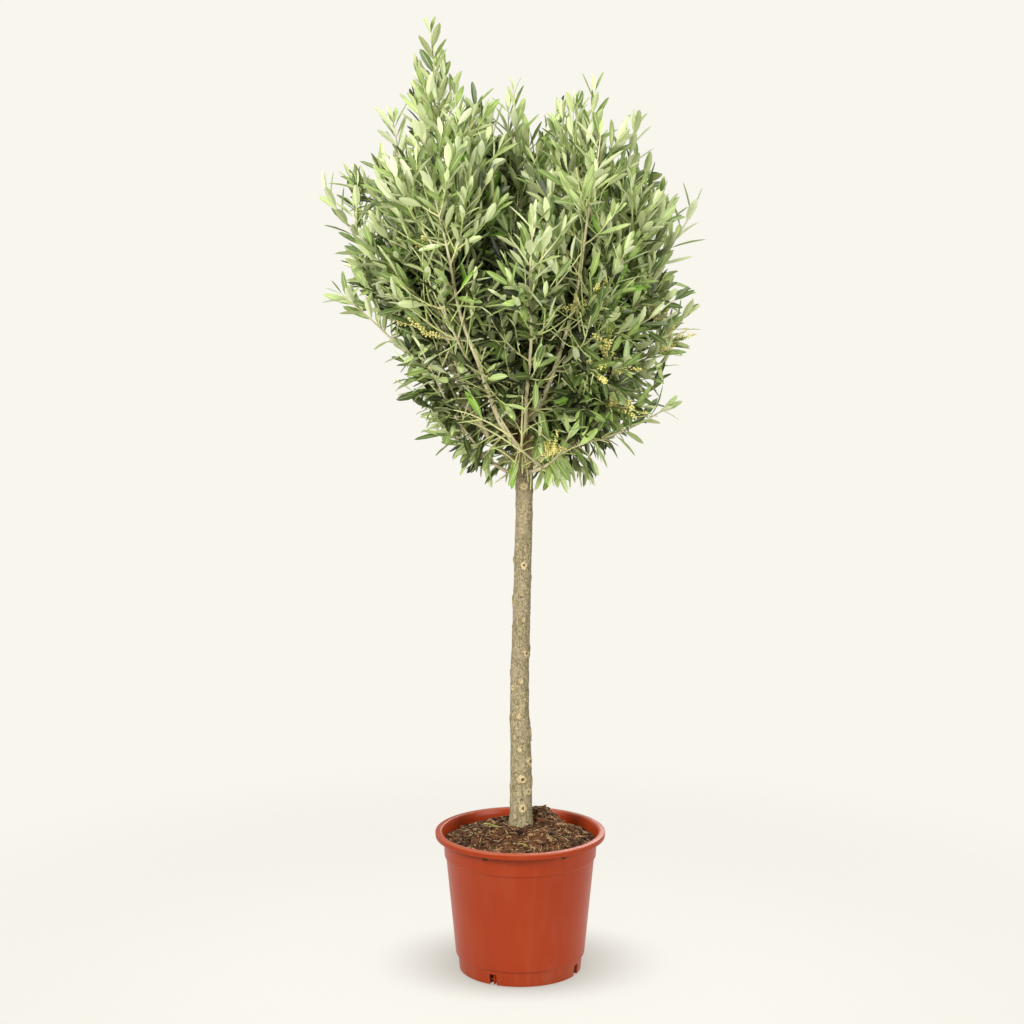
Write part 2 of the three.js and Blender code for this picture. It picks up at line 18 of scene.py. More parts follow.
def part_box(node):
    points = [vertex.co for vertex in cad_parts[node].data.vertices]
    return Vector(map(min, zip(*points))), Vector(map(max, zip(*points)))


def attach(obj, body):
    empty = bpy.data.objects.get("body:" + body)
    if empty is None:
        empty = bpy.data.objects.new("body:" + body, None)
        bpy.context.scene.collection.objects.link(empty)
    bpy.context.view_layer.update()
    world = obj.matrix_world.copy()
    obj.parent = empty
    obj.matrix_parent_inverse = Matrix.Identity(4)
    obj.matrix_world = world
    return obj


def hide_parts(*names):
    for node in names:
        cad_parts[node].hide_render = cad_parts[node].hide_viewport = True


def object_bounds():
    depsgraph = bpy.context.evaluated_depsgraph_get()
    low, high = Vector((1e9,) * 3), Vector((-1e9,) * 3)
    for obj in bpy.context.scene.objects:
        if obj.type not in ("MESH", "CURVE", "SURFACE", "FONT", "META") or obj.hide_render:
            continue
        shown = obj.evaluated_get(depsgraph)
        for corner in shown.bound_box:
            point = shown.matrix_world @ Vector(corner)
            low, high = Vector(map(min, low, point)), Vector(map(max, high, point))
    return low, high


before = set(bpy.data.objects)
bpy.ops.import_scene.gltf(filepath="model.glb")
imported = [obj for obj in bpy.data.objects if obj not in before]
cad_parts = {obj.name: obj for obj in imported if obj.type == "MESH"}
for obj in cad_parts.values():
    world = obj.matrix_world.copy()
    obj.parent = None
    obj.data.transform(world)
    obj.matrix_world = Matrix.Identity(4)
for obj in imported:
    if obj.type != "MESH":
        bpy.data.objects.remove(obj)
CAD_BOX = [list(corner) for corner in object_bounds()]
POT_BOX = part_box("pot")

bl_info = {
    "name": "Potted Olive Tree",
    "version": (1, 0, 0),
    "blender": (4, 5, 0),
    "location": "View3D > Sidebar > Olive Tree",
    "description": "Models and finishes a standard olive tree in a nursery pot",
    "category": "Object",
}

# ---------------------------------------------------------------- sizes shared with the frame

TURN = 2 * math.pi
UP = Vector((0, 0, 1))
CLOSE = 1e-5  # two points nearer than this are one

# Pot, as (radius, height) stations from the foot up.
WALL = 0.0024
FLOOR = 0.003
LIP_RADIUS = 0.161
LIP_DROP = 0.011
LIP_INNER_RADIUS = 0.148
COLLAR_TOP_RADIUS = 0.1455
COLLAR_FOOT = (0.1435, 0.222)
BODY_TOP_RADIUS = 0.1405
BODY_FOOT_RADIUS = 0.1225
FOOT_HEIGHT = 0.029
FOOT_TOP_RADIUS = 0.1185
FOOT_RADIUS = 0.1155
STEP_RISE = 0.0025
DRAIN = {"count": 4, "first": -116, "width": 0.0145, "top": 0.0215, "depth": 0.018}
VENT = {
    "count": 6, "first": -117, "width": 0.0105, "height": 0.0046, "drop": 0.0052, "depth": 0.012,
    "blind": 0.0042,
}  # fmt: skip
LEDGE_FIN = {"inset": 0.004, "depth": 0.014, "width": 0.0022, "bottom": 0.0, "top": 0.0195}
LEDGE = {"inset": 0.006, "depth": 0.012, "width": 0.0144, "bottom": 0.0088, "top": 0.0106}

# Root ball.
SOIL_EDGE_HEIGHT = 0.25
SOIL_TOP_HEIGHT = 0.28
SOIL_SEAT_RADIUS = 0.031
CLODS = {"count": 22, "seed": 41, "height": 0.009, "radius": 0.017}
CLUMP = {"place": (0.024, 0.036), "height": 0.022, "left": 0.02, "right": 0.06, "deep": 0.03}
LITTER_RADIUS = 0.1375
FIBRE_RADIUS = 0.132
BLADES = (  # short green blades that lie on the earth: place, heading in degrees and length
    (-0.055, -0.034, -35, 0.034), (-0.047, -0.042, -18, 0.024), (0.004, -0.088, -45, 0.028),
)  # fmt: skip

# Stem, as (height, radius) and (height, sway) stations.
STEM_FOOT = SOIL_TOP_HEIGHT
STEM_TIP = 1.15
STEM_RADII = (
    (0.28, 0.0242), (0.302, 0.0216), (0.36, 0.0202), (0.42, 0.0196), (0.49, 0.018), (0.57, 0.0172),
    (0.7, 0.0164), (0.93, 0.0156), (0.985, 0.0164), (1.05, 0.0132), (1.15, 0.0095),
)  # fmt: skip
STEM_SWAY = (
    (0.28, 0.0015), (0.406, 0.001), (0.522, -0.0015), (0.675, 0.002), (0.826, 0.0055),
    (0.901, 0.007), (1.15, 0.009),
)  # fmt: skip
STEM_LEAN_BACK = 0.006

# Limbs: where each springs, (the limb that carries it), tip, elbow, bare share and girth.
LIMBS = (
    ("front_left", 0.992, None, (-0.165, -0.066, 1.794), (0.6, 0.16), 0.34, 0.0052),
    ("left", 0.966, None, (-0.236, -0.03, 1.636), (0.62, 0.08), 0.4, 0.0052),
    ("left_middle", 0.2, "left", (-0.356, -0.076, 1.318), (0.5, 0.5), 0.14, 0.0034),
    ("left_high", 0.3, "left", (-0.376, -0.034, 1.506), (0.55, 0.5), 0.12, 0.0032),
    ("left_low", 0.94, None, (-0.19, -0.1, 1.12), (0.6, 0.28), 0.14, 0.0042),
    ("right", 1.044, None, (0.135, -0.07, 1.69), (0.6, 0.13), 0.3, 0.0054),
    ("right_top", 1.102, None, (0.222, 0.044, 1.632), (0.62, 0.2), 0.26, 0.0044),
    ("right_high", 1.084, None, (0.34, -0.014, 1.484), (0.55, 0.3), 0.26, 0.0046),
    ("right_middle", 1.018, None, (0.33, -0.05, 1.284), (0.5, 0.22), 0.27, 0.0042),
    ("right_low", 0.984, None, (0.298, -0.07, 1.098), (0.5, 0.2), 0.14, 0.0044),
    ("middle", 1.15, None, (-0.016, -0.03, 1.688), (0.1, 0.5), 0.06, 0.0086),
    ("front", 1.016, None, (0.02, -0.296, 1.47), (0.62, 0.24), 0.26, 0.0046),
    ("front_right", 1.078, None, (0.196, -0.23, 1.41), (0.55, 0.28), 0.26, 0.0042),
    ("front_side", 1.04, None, (-0.184, -0.246, 1.39), (0.6, 0.3), 0.28, 0.0042),
    ("front_low", 0.95, None, (0.105, -0.205, 1.085), (0.6, 0.2), 0.14, 0.0042),
    ("left_top", 1.116, None, (-0.088, 0.05, 1.658), (0.6, 0.2), 0.24, 0.004),
    ("back", 1.086, None, (0.01, 0.28, 1.5), (0.58, 0.28), 0.26, 0.0044),
    ("back_left", 1.022, None, (-0.2, 0.22, 1.42), (0.6, 0.24), 0.27, 0.0046),
    ("back_right", 1.01, None, (0.22, 0.216, 1.37), (0.6, 0.24), 0.27, 0.0046),
    ("back_low", 0.972, None, (-0.024, 0.232, 1.096), (0.6, 0.2), 0.14, 0.0042),
)
SIDES = ("front", "left", "right", "back", "middle")  # a limb's side is its name's first word

# Finer boughs inside the masses of foliage, by the same rule.
BRANCHES = (
    ("front_pale", 0.985, None, (-0.16, -0.246, 1.53), (0.56, 0.2), 0.64, 0.0062),
    ("front_rising", 1.04, None, (0.14, -0.236, 1.61), (0.64, 0.17), 0.64, 0.0056),
    ("left_rising", 0.12, "left", (-0.19, -0.14, 1.5), (0.6, 0.3), 0.42, 0.0036),
    ("left_inner", 0.3, "left_low", (-0.19, -0.16, 1.23), (0.6, 0.4), 0.3, 0.0028),
    ("right_inner", 0.3, "right_low", (0.21, -0.16, 1.2), (0.6, 0.4), 0.3, 0.0028),
    ("right_rising", 0.2, "right_middle", (0.21, -0.15, 1.5), (0.6, 0.3), 0.4, 0.0032),
    ("back_rising", 0.15, "back", (0.08, 0.2, 1.61), (0.6, 0.3), 0.3, 0.0034),
    ("back_pale", 0.15, "back_left", (-0.12, 0.21, 1.56), (0.6, 0.3), 0.3, 0.0034),
    ("front_under", 0.3, "front_low", (-0.06, -0.22, 1.13), (0.6, 0.3), 0.2, 0.0028),
)
# Boughs that show between the leaves in front of them: name, from and to a share of their length.
SHOWN = (
    ("front_pale", 0.08, 0.74), ("front_rising", 0.1, 0.7), ("left", 0.05, 0.55), ("right_low", 0.1, 0.6),
)  # fmt: skip
SHOWN_WIDTH = 0.018  # no leaf stands nearer than this in front of them
STEM_SHOWN = (0.9, 1.09)  # heights between which the stem shows through the leaves in front

# Where flower buds and the freshest shoots show on the front, as (distance to the right, height), and
# how deep they stand.
BUD_DEPTH = -0.17
BUD_PLACES = (
    (0.095, 1.228), (0.13, 1.222), (0.115, 1.31), (0.165, 1.185), (0.185, 1.14), (0.195, 1.165), (0.21, 1.1),
    (-0.185, 1.4), (-0.195, 1.2), (0.05, 0.955), (0.075, 0.975),
)  # fmt: skip
FRESH_DEPTH = -0.1
FRESH_PLACES = ((-0.003, 1.228), (0.15, 0.985), (0.19, 1.3))
FRESH_REACH = 0.03
# The shaded hollow of the front: distance to the right, height, half its width and half its height.
HOLLOW = (0.02, 1.22, 0.2, 0.14)

# Crown, as (height, reach to the left, reach to the right) stations, and its outline from above the
# front as (distance to the right, top) stations with the sky let in between the leading shoots.
CROWN_DEPTH = 0.92
CROWN_REACH = np.array((
    (0.903, -0.02, 0.05), (0.93, -0.07, 0.14), (0.97, -0.125, 0.16), (1.03, -0.165, 0.22),
    (1.07, -0.2, 0.3), (1.1, -0.246, 0.29), (1.13, -0.238, 0.27), (1.19, -0.24, 0.315), (1.225, -0.255, 0.31),
    (1.25, -0.318, 0.325), (1.3, -0.355, 0.33), (1.34, -0.328, 0.268), (1.39, -0.318, 0.305),
    (1.44, -0.348, 0.328), (1.5, -0.375, 0.325), (1.54, -0.335, 0.25), (1.565, -0.256, 0.24),
    (1.66, -0.235, 0.236), (1.7, -0.2, 0.16), (1.8, -0.2, 0.15),
))  # fmt: skip
CROWN_TOP = np.array((
    (-0.38, 1.53), (-0.275, 1.53), (-0.245, 1.62), (-0.205, 1.67), (-0.165, 1.79), (-0.13, 1.7),
    (-0.09, 1.668), (-0.06, 1.62), (-0.03, 1.695), (0.0, 1.68), (0.018, 1.57), (0.036, 1.59),
    (0.06, 1.645), (0.1, 1.66), (0.13, 1.69), (0.162, 1.62), (0.185, 1.6), (0.215, 1.635), (0.236, 1.635),
    (0.256, 1.51), (0.345, 1.5),
))  # fmt: skip
LEADER_SLACK = 0.045  # how far leaves on the leading shoots may stand out of the crown

# ---------------------------------------------------------------- numbers


class Seeded:
    """A repeatable stream of numbers between 0 and 1."""

    def __init__(self, seed):
        self.state = (seed * 2654435761) % 4294967296
        for _ in range(3):
            self.next()

    def next(self):
        self.state = (1664525 * self.state + 1013904223) % 4294967296
        return self.state / 4294967296

    def between(self, low, high):
        return low + (high - low) * self.next()


def clamp01(x):
    return min(1.0, max(0.0, x))


def smooth01(x):
    x = np.clip(x, 0, 1)
    return x * x * (3 - 2 * x)


def through(stations, place):
    """A smooth value through (place, value) stations."""
    last = len(stations) - 1
    i = 0
    while i < last - 1 and place > stations[i + 1][0]:
        i += 1
    a, b = stations[i], stations[i + 1]
    before, after = stations[max(i - 1, 0)], stations[min(i + 2, last)]
    span = b[0] - a[0]
    t = clamp01((place - a[0]) / span)
    slope_a = (b[1] - before[1]) / (b[0] - before[0]) * span
    slope_b = (after[1] - a[1]) / (after[0] - a[0]) * span
    t2, t3 = t * t, t * t * t
    return (
        (2 * t3 - 3 * t2 + 1) * a[1] + (t3 - 2 * t2 + t) * slope_a
        + (3 * t2 - 2 * t3) * b[1] + (t3 - t2) * slope_b
    )  # fmt: skip


def colour(code):
    """A linear colour from a web code such as 'b1482a'."""
    shares = [int(code[i : i + 2], 16) / 255 for i in (0, 2, 4)]
    return tuple(s / 12.92 if s <= 0.04045 else ((s + 0.055) / 1.055) ** 2.4 for s in shares)


def opaque(rgb, shade=1.0):
    return (*(min(1.0, c * shade) for c in rgb), 1.0)


# ---------------------------------------------------------------- shaders


class Value:
    """A shader value. Arithmetic on it adds Math nodes to its finish."""

    def __init__(self, finish, socket):
        self.finish, self.socket = finish, socket

    def maths(self, operation, *terms):
        return self.finish.node("ShaderNodeMath", {"operation": operation}, dict(enumerate(terms)))

    def __add__(self, other):
        return self.maths("ADD", self, other)

    def __radd__(self, other):
        return self.maths("ADD", other, self)

    def __sub__(self, other):
        return self.maths("SUBTRACT", self, other)

    def __mul__(self, other):
        return self.maths("MULTIPLY", self, other)


class Finish:
    """A material and the nodes that make it."""

    def __init__(self, name):
        self.material = bpy.data.materials.new(name)
        self.material.use_nodes = True
        self.tree = self.material.node_tree
        self.surface = self.tree.nodes["Principled BSDF"]
        self.place = self.node("ShaderNodeTexCoord", output="Object")

    def node(self, kind, settings=None, inputs=None, output=0):
        """Adds a node: its settings first, then the values or links of its sockets."""
        made = self.tree.nodes.new(kind)
        for name, value in (settings or {}).items():
            setattr(made, name, value)
        for key, value in (inputs or {}).items():
            self.feed(made.inputs[key], value)
        return Value(self, made.outputs[output])

    def feed(self, socket, value):
        if isinstance(value, Value):
            self.tree.links.new(value.socket, socket)
        else:
            socket.default_value = value

    def wear(self, **sockets):
        """Sets the surface's own sockets, named in small letters with underscores."""
        for socket in self.surface.inputs:
            name = socket.name.lower().replace(" ", "_")
            if name in sockets:
                self.feed(socket, sockets.pop(name))
        if sockets:
            raise KeyError(f"the surface has no socket for {sorted(sockets)}")
        return self.material

    def stretched(self, scale):
        return self.node("ShaderNodeMapping", None, {"Vector": self.place, "Scale": scale})

    def noise(self, scale, detail=3.0, roughness=0.5, at=None):
        inputs = {"Scale": scale, "Detail": detail, "Roughness": roughness}
        return self.node("ShaderNodeTexNoise", None, {"Vector": at or self.place, **inputs})

    def cells(self, scale, at=None):
        inputs = {"Vector": at or self.place, "Scale": scale}
        return self.node("ShaderNodeTexVoronoi", None, inputs, "Distance")

    def band(self, value, low, high, to_low=0.0, to_high=1.0):
        """The value brought from one range to another, and held there."""
        inputs = {"Value": value, "From Min": low, "From Max": high, "To Min": to_low, "To Max": to_high}
        return self.node("ShaderNodeMapRange", {"interpolation_type": "SMOOTHSTEP"}, inputs)

    def mixed(self, share, a, b):
        """Colour b over colour a, by a share."""
        return self.node("ShaderNodeMix", {"data_type": "RGBA"}, {0: share, 6: a, 7: b}, 2)

    def length(self, value):
        return self.node("ShaderNodeVectorMath", {"operation": "LENGTH"}, {0: value}, "Value")

    def axis(self, letter):
        return self.node("ShaderNodeSeparateXYZ", None, {0: self.place}, letter)

    def attribute(self, name):
        return self.node("ShaderNodeAttribute", {"attribute_name": name}, output="Fac")

    def bump(self, height, distance, strength=1.0):
        inputs = {"Height": height, "Distance": distance, "Strength": strength}
        return self.node("ShaderNodeBump", None, inputs)


# ---------------------------------------------------------------- modelling helpers


def alone(piece=None):
    """Leaves only this object selected, or none, out of edit mode."""
    if bpy.context.object and bpy.context.object.mode != "OBJECT":
        bpy.ops.object.mode_set(mode="OBJECT")
    bpy.ops.object.select_all(action="DESELECT")
    if piece:
        piece.select_set(True)
        bpy.context.view_layer.objects.active = piece
    return piece


def added(operator, name, **settings):
    """A new primitive, alone in the selection and named."""
    alone()
    operator(**settings)
    piece = bpy.context.object
    piece.name = piece.data.name = name
    return piece


def settled(piece):
    """Puts a piece's place, turn and size in its mesh, with its object at the origin."""
    alone(piece)
    bpy.ops.object.transform_apply(location=True, rotation=True, scale=True)
    return piece


def modified(piece, kind, **settings):
    """Adds a modifier and applies it."""
    alone(piece)
    modifier = piece.modifiers.new(kind, kind)
    for name, value in settings.items():
        setattr(modifier, name, value)
    bpy.ops.object.modifier_apply(modifier=modifier.name)
    return piece


def cut(piece, cutters):
    """Cuts closed pieces out of another and removes them."""
    for cutter in cutters:
        modified(piece, "BOOLEAN", operation="DIFFERENCE", solver="EXACT", object=cutter)
        bpy.data.objects.remove(cutter)
    return piece


def joined(name, pieces):
    """One piece made of several."""
    alone(pieces[0])
    for piece in pieces[1:]:
        piece.select_set(True)
    if len(pieces) > 1:
        bpy.ops.object.join()
    pieces[0].name = pieces[0].data.name = name
    return pieces[0]


def shaded(piece, degrees):
    alone(piece)
    bpy.ops.object.shade_smooth_by_angle(angle=math.radians(degrees))
    return piece


def finished(piece, *materials):
    for material in materials:
        piece.data.materials.append(material)
    return piece


def turned(name, outline, steps):
    """An outline of (radius, height) points spun round the Z axis into a closed shell."""
    piece = added(bpy.ops.mesh.primitive_plane_add, name, size=0.01)
    bpy.ops.object.mode_set(mode="EDIT")
    bpy.ops.mesh.merge(type="CENTER")
    here = (0.0, 0.0)
    for i, (radius, height) in enumerate(outline):
        step = (radius - here[0], 0, height - here[1])
        if i:
            bpy.ops.mesh.extrude_region_move(TRANSFORM_OT_translate={"value": step})
        else:
            bpy.ops.transform.translate(value=step)
        here = (radius, height)
    bpy.ops.mesh.select_all(action="SELECT")
    bpy.ops.mesh.spin(steps=steps, angle=TURN, center=(0, 0, 0), axis=(0, 0, 1))
    bpy.ops.mesh.select_all(action="SELECT")
    bpy.ops.mesh.remove_doubles(threshold=CLOSE)
    bpy.ops.mesh.normals_make_consistent(inside=False)
    return alone(piece)


def rounded(points, sizes, steps=3):
    """The same outline with its corners rounded by the sizes given, 0 to leave one sharp."""
    made = []
    for i, (corner, size) in enumerate(zip(points, sizes)):
        if not size:
            made.append(corner)
            continue
        corner, before, after = (Vector(points[k % len(points)]) for k in (i, i - 1, i + 1))
        start = corner + (before - corner).normalized() * size
        end = corner + (after - corner).normalized() * size
        for k in range(steps + 1):
            t = k / steps
            made.append(tuple(start * (1 - t) ** 2 + corner * 2 * t * (1 - t) + end * t * t))
    return made


def mesh_piece(name, places, faces, slots=None):
    """A mesh from arrays: places (n, 3) and lists of (faces, corners) index arrays."""
    mesh = bpy.data.meshes.new(name)
    mesh.vertices.add(len(places))
    mesh.vertices.foreach_set("co", np.asarray(places, np.float32).ravel())
    corners = np.concatenate([f.ravel() for f in faces]).astype(np.int32)
    sizes = np.concatenate([np.full(len(f), f.shape[1]) for f in faces])
    starts = np.concatenate([[0], np.cumsum(sizes)[:-1]]).astype(np.int32)
    mesh.loops.add(len(corners))
    mesh.loops.foreach_set("vertex_index", corners)
    mesh.polygons.add(len(starts))
    mesh.polygons.foreach_set("loop_start", starts)
    if slots is not None:
        mesh.polygons.foreach_set("material_index", np.concatenate(slots).astype(np.int32))
    mesh.update(calc_edges=True)
    piece = bpy.data.objects.new(name, mesh)
    bpy.context.scene.collection.objects.link(piece)
    return piece


def places_of(piece):
    places = np.empty(len(piece.data.vertices) * 3, np.float32)
    piece.data.vertices.foreach_get("co", places)
    return places.reshape(-1, 3).astype(float)


def set_places(piece, places):
    piece.data.vertices.foreach_set("co", np.asarray(places, np.float32).ravel())
    piece.data.update()


def normals_of(piece):
    normals = np.empty(len(piece.data.vertices) * 3, np.float32)
    piece.data.vertices.foreach_get("normal", normals)
    return normals.reshape(-1, 3).astype(float)


def noise_at(places, scale, octaves=3, seed=0.0):
    """Fractal noise at each place, about -1 to 1. The scale is one number, or one for each axis."""
    shift = Vector((seed, seed * 1.7, seed * 0.6))
    scaled = places * np.asarray(scale)
    return np.array([noise.fractal(Vector(p) + shift, 1.0, 2.0, octaves) for p in scaled])


# ---------------------------------------------------------------- growth


def stem_centre(z):
    back = STEM_LEAN_BACK * (z - STEM_FOOT) / (STEM_TIP - STEM_FOOT)
    return Vector((through(STEM_SWAY, z), back, z))


def depth_in_crown(places, slack=0.0):
    """How far out each place (n, 3) lies in the crown's reach, taken in by a slack: 1 is its edge."""
    x, y, z = places.T
    left = np.interp(z, CROWN_REACH[:, 0], CROWN_REACH[:, 1]) + slack
    right = np.interp(z, CROWN_REACH[:, 0], CROWN_REACH[:, 2]) - slack
    half = (right - left) / 2
    return np.hypot((x - (left + right) / 2) / half, y / (half * CROWN_DEPTH))


def in_crown(places, slack=0.0):
    """Which of the places (n, 3) lie in the crown's reach and under its top, taken in by a slack."""
    x, _, z = places.T
    below = z < np.interp(x, CROWN_TOP[:, 0], CROWN_TOP[:, 1]) - slack
    return (depth_in_crown(places, slack) < 1) & below & (z > CROWN_REACH[0, 0])


def in_frame(place, slack=0.0):
    """Whether a place lies in the box of the frame, taken in by a slack."""
    return all(low + slack <= x <= high - slack for low, x, high in zip(CAD_BOX[0], place, CAD_BOX[1]))


class Limb:
    """A limb's centre line, evenly stepped, and its radius along it."""

    STEPS = 80
    TIP_RADIUS = 0.0011
    WANDER = 0.0026

    def __init__(self, row, grown):
        self.name, at, on, tip, (out, rise), self.wood, self.girth = row
        start = grown[on].at(at) if on else stem_centre(at)
        start, tip = np.array(start), np.array(tip)
        elbow = start + (tip - start) * (out, out, rise)
        t = np.linspace(0, 1, 4 * self.STEPS)[:, None]
        curve = (1 - t) ** 2 * start + 2 * t * (1 - t) * elbow + t * t * tip
        gone = np.concatenate([[0], np.cumsum(np.linalg.norm(np.diff(curve, axis=0), axis=1))])
        self.length = gone[-1]
        even = np.linspace(0, self.length, self.STEPS + 1)
        self.line = np.column_stack([np.interp(even, gone, curve[:, k]) for k in range(3)])
        self.side = self.name.split("_")[0]
        seeded = Seeded(int(1000 * self.length))
        sway = self.WANDER * np.sin(np.pi * even / self.length)
        for k in range(3):
            wave, phase = seeded.between(0.18, 0.34), seeded.between(0, TURN)
            self.line[:, k] += sway * np.sin(TURN * even / wave + phase)

    def at(self, share):
        places = np.linspace(0, 1, self.STEPS + 1)
        return Vector([np.interp(share, places, self.line[:, k]) for k in range(3)])

    def along(self, share):
        low, high = max(0.0, share - 0.02), min(1.0, share + 0.02)
        return (self.at(high) - self.at(low)).normalized()

    def radius(self, share):
        return self.girth + (self.TIP_RADIUS - self.girth) * clamp01(share) ** 0.9


@functools.lru_cache
def limbs():
    """The frame's own limbs by name, and the finer boughs after them."""
    grown = {}
    for row in (*LIMBS, *BRANCHES):
        grown[row[0]] = Limb(row, grown)
    return grown


class Shoot:
    """A twig: its line, its radii at both ends, its order and the spray that it belongs to."""

    def __init__(self, line, foot, tip, order, limb, bare, tone):
        self.line, self.foot, self.tip, self.order = line, foot, tip, order
        self.limb, self.bare, self.tone = limb, bare, tone
        steps = np.linalg.norm(np.diff(line, axis=0), axis=1)
        self.gone = np.concatenate([[0], np.cumsum(steps)])
        self.length = self.gone[-1]

    def at(self, distance):
        return Vector([np.interp(distance, self.gone, self.line[:, k]) for k in range(3)])

    def along(self, distance):
        low, high = max(0.0, distance - 0.006), min(self.length, distance + 0.006)
        return (self.at(high) - self.at(low)).normalized()


def aside(tangent, turn):
    """A direction square to a shoot, turned about it."""
    level = Vector((1, 0, 0)) if abs(tangent.z) > 0.95 else UP
    side = level.cross(tangent).normalized()
    side.rotate(Matrix.Rotation(turn, 3, tangent))
    return side


def leaning(tangent, side, degrees):
    angle = math.radians(degrees)
    return tangent * math.cos(angle) + side * math.sin(angle)


class Crown:
    """All the shoots and leaves, grown limb by limb by one seeded rule."""

    # Side shoots, on the leading shoots.
    SHOOT_STEP = 0.046
    SHOOT_SPAN = (0.0, 0.86)
    LEADER_BARE = (1.6, 0.1)  # a limb that ends above this has no shoots on its last stretch
    SHOOT_LENGTH = (0.2, 0.08)  # at the leader's foot and at its tip
    SHOOT_ANGLE = 46
    SHOOT_RISE = 0.5
    TOP_RISE = 0.5  # the more that shoots rise in the upper crown
    HIGH = (1.3, 1.6)  # heights between which the upper crown begins
    LEVEL_BELOW = 1.14
    SHOOT_RADII = (0.0019, 0.0009)
    BEND_STEP = 0.022
    # Twigs, on the side shoots.
    TWIG_STEP = 0.042
    TWIG_LENGTH = (0.105, 0.055)  # at the shoot's foot and at its tip
    TWIG_LEAST = 0.03
    TWIG_ANGLE = 42
    TWIG_RADII = (0.0013, 0.0007)
    ODD_TWIG = 0.24  # chance that one of a pair is missing
    # Short shoots on bare wood.
    INNER_STEP = 0.042
    INNER_LENGTH = (0.08, 0.14)
    STEM_SHOOTS = 26
    STEM_SHOOTS_FROM = 0.965
    STEM_SHOOT_LENGTH = (0.09, 0.16)
    # Space kept: to the crown's reach, to the frame's box by leaf and by shoot, to the wood.
    MARGIN = 0.018
    FRAME_SLACK = 0.0025
    TWIG_SLACK = 0.006
    WOOD_SLACK = 0.004
    # Leaves.
    DROOP_BELOW = 1.25
    LEADER_GAP = 1.25
    LEADER_LEAF = 1.25
    LEAF_ANGLES = (54, 28)  # at a shoot's foot, and how much less at its tip
    TIP_ANGLES = (5, 16)
    TIP_SIZE = 0.72
    TIP_SPREAD = 1.8  # how much wider the last two leaves of a leading shoot stand
    MISSING = 0.08  # chance that a leaf is missing, and what the places below add to it
    FOOT_THIN = 0.4
    LOW_THIN = 0.4
    THIN_BELOW = 0.965
    HOLLOW_THIN = 0.18
    LEADER_THIN = 0.3  # share of that chance on the leading shoots
    # Tones of the sprays: the parts that height and distance outwards have in them, and chance. Besides the
    # leaves' age, pale tones high, outside and at the foot are painted light, and dark tones inside are
    # painted shade.
    TONE_HEIGHT = 0.25
    TONE_OUT = (0.68, 1.7)  # and the power that holds it to the outside
    TONE_STRAY = (-0.28, 0.42)
    TONE_GAIN = 1.1
    LIGHT_ABOVE = 1.2
    LIGHT_AT_TOP = 0.97
    LIGHT_BELOW = (1.22, 0.39)  # the foot is light again below a height, in full after a stretch
    HOLLOW_SHADE = 0.46
    FRESH_CHANCE = 0.011

    def __init__(self, leaf):
        self.leaf = leaf
        self.shoots = []
        self.leaves = []
        self.near = self.obstacles()
        self.shown = self.shown_boughs()
        for index, limb in enumerate(limbs().values()):
            self.grow_limb(limb, Seeded(100 + index))
        self.grow_inside(Seeded(77))

    def obstacles(self):
        """A tree of points down the stem and the bare limbs, with their radii."""
        points = []
        for z in np.arange(STEM_FOOT, STEM_TIP, 0.006):
            points.append((stem_centre(z), through(STEM_RADII, z)))
        for limb in limbs().values():
            for share in np.linspace(0.02, limb.wood, 24):
                points.append((limb.at(share), limb.radius(share)))
        tree = kdtree.KDTree(len(points))
        for i, (place, _) in enumerate(points):
            tree.insert(place, i)
        tree.balance()
        self.radii = [radius for _, radius in points]
        return tree

    def shown_boughs(self):
        """Places down the boughs, the buds and the stretch of stem that show from the front."""
        rows = []
        for name, first, last in SHOWN:
            rows += [limbs()[name].at(share) for share in np.linspace(first, last, 40)]
        rows += [Vector((x, BUD_DEPTH, z)) for x, z in BUD_PLACES]
        rows += [stem_centre(z) for z in np.linspace(*STEM_SHOWN, 30)]
        return np.array(rows)

    def hides(self, place):
        """Whether a leaf here would stand right in front of a bough that shows."""
        away = np.hypot(self.shown[:, 0] - place.x, self.shown[:, 2] - place.z)
        return bool(((away < SHOWN_WIDTH) & (self.shown[:, 1] > place.y)).any())

    def clear(self, place, reach):
        """Whether a place is further than this from all bare wood."""
        _, index, distance = self.near.find(place)
        return distance > self.radii[index] + reach

    def height_share(self, place):
        """0 in the lower crown to 1 at its top."""
        low, high = self.HIGH
        return clamp01((place.z - low) / (high - low))

    def in_hollow(self, place):
        """How far a place lies in the shaded hollow of the front, 0 to 1."""
        if place.y >= 0:
            return 0.0
        x, z, wide, high = HOLLOW
        return math.exp(-(((place.x - x) / wide) ** 2) - ((place.z - z) / high) ** 2)

    def tone(self, place, seeded):
        """A spray's tone by where it stands, partly the leaves' age: dark inside as painted shade, pale
        outside, at the top and at the foot as painted light.
        """
        top = np.interp(place.x, CROWN_TOP[:, 0], CROWN_TOP[:, 1])
        foot, stretch = self.LIGHT_BELOW
        out = max(
            depth_in_crown(np.array([place]))[0],
            self.LIGHT_AT_TOP * (place.z - self.LIGHT_ABOVE) / (top - self.LIGHT_ABOVE),
            (foot - place.z) / stretch,
        )
        part, power = self.TONE_OUT
        light = self.TONE_HEIGHT * clamp01((place.z - 1.0) / 0.6) + part * clamp01(out) ** power
        light += seeded.between(*self.TONE_STRAY)
        # painted shade: sprays in the hollow of the front get darker tones
        light -= self.HOLLOW_SHADE * self.in_hollow(place)
        newest = place.y < FRESH_DEPTH and any(
            math.hypot(place.x - x, place.z - z) < FRESH_REACH for x, z in FRESH_PLACES
        )
        if newest or (out > 0.45 and seeded.next() < self.FRESH_CHANCE):
            return FRESH
        return int(min(len(GROWN) - 1, max(0.0, light * self.TONE_GAIN) * len(GROWN)))

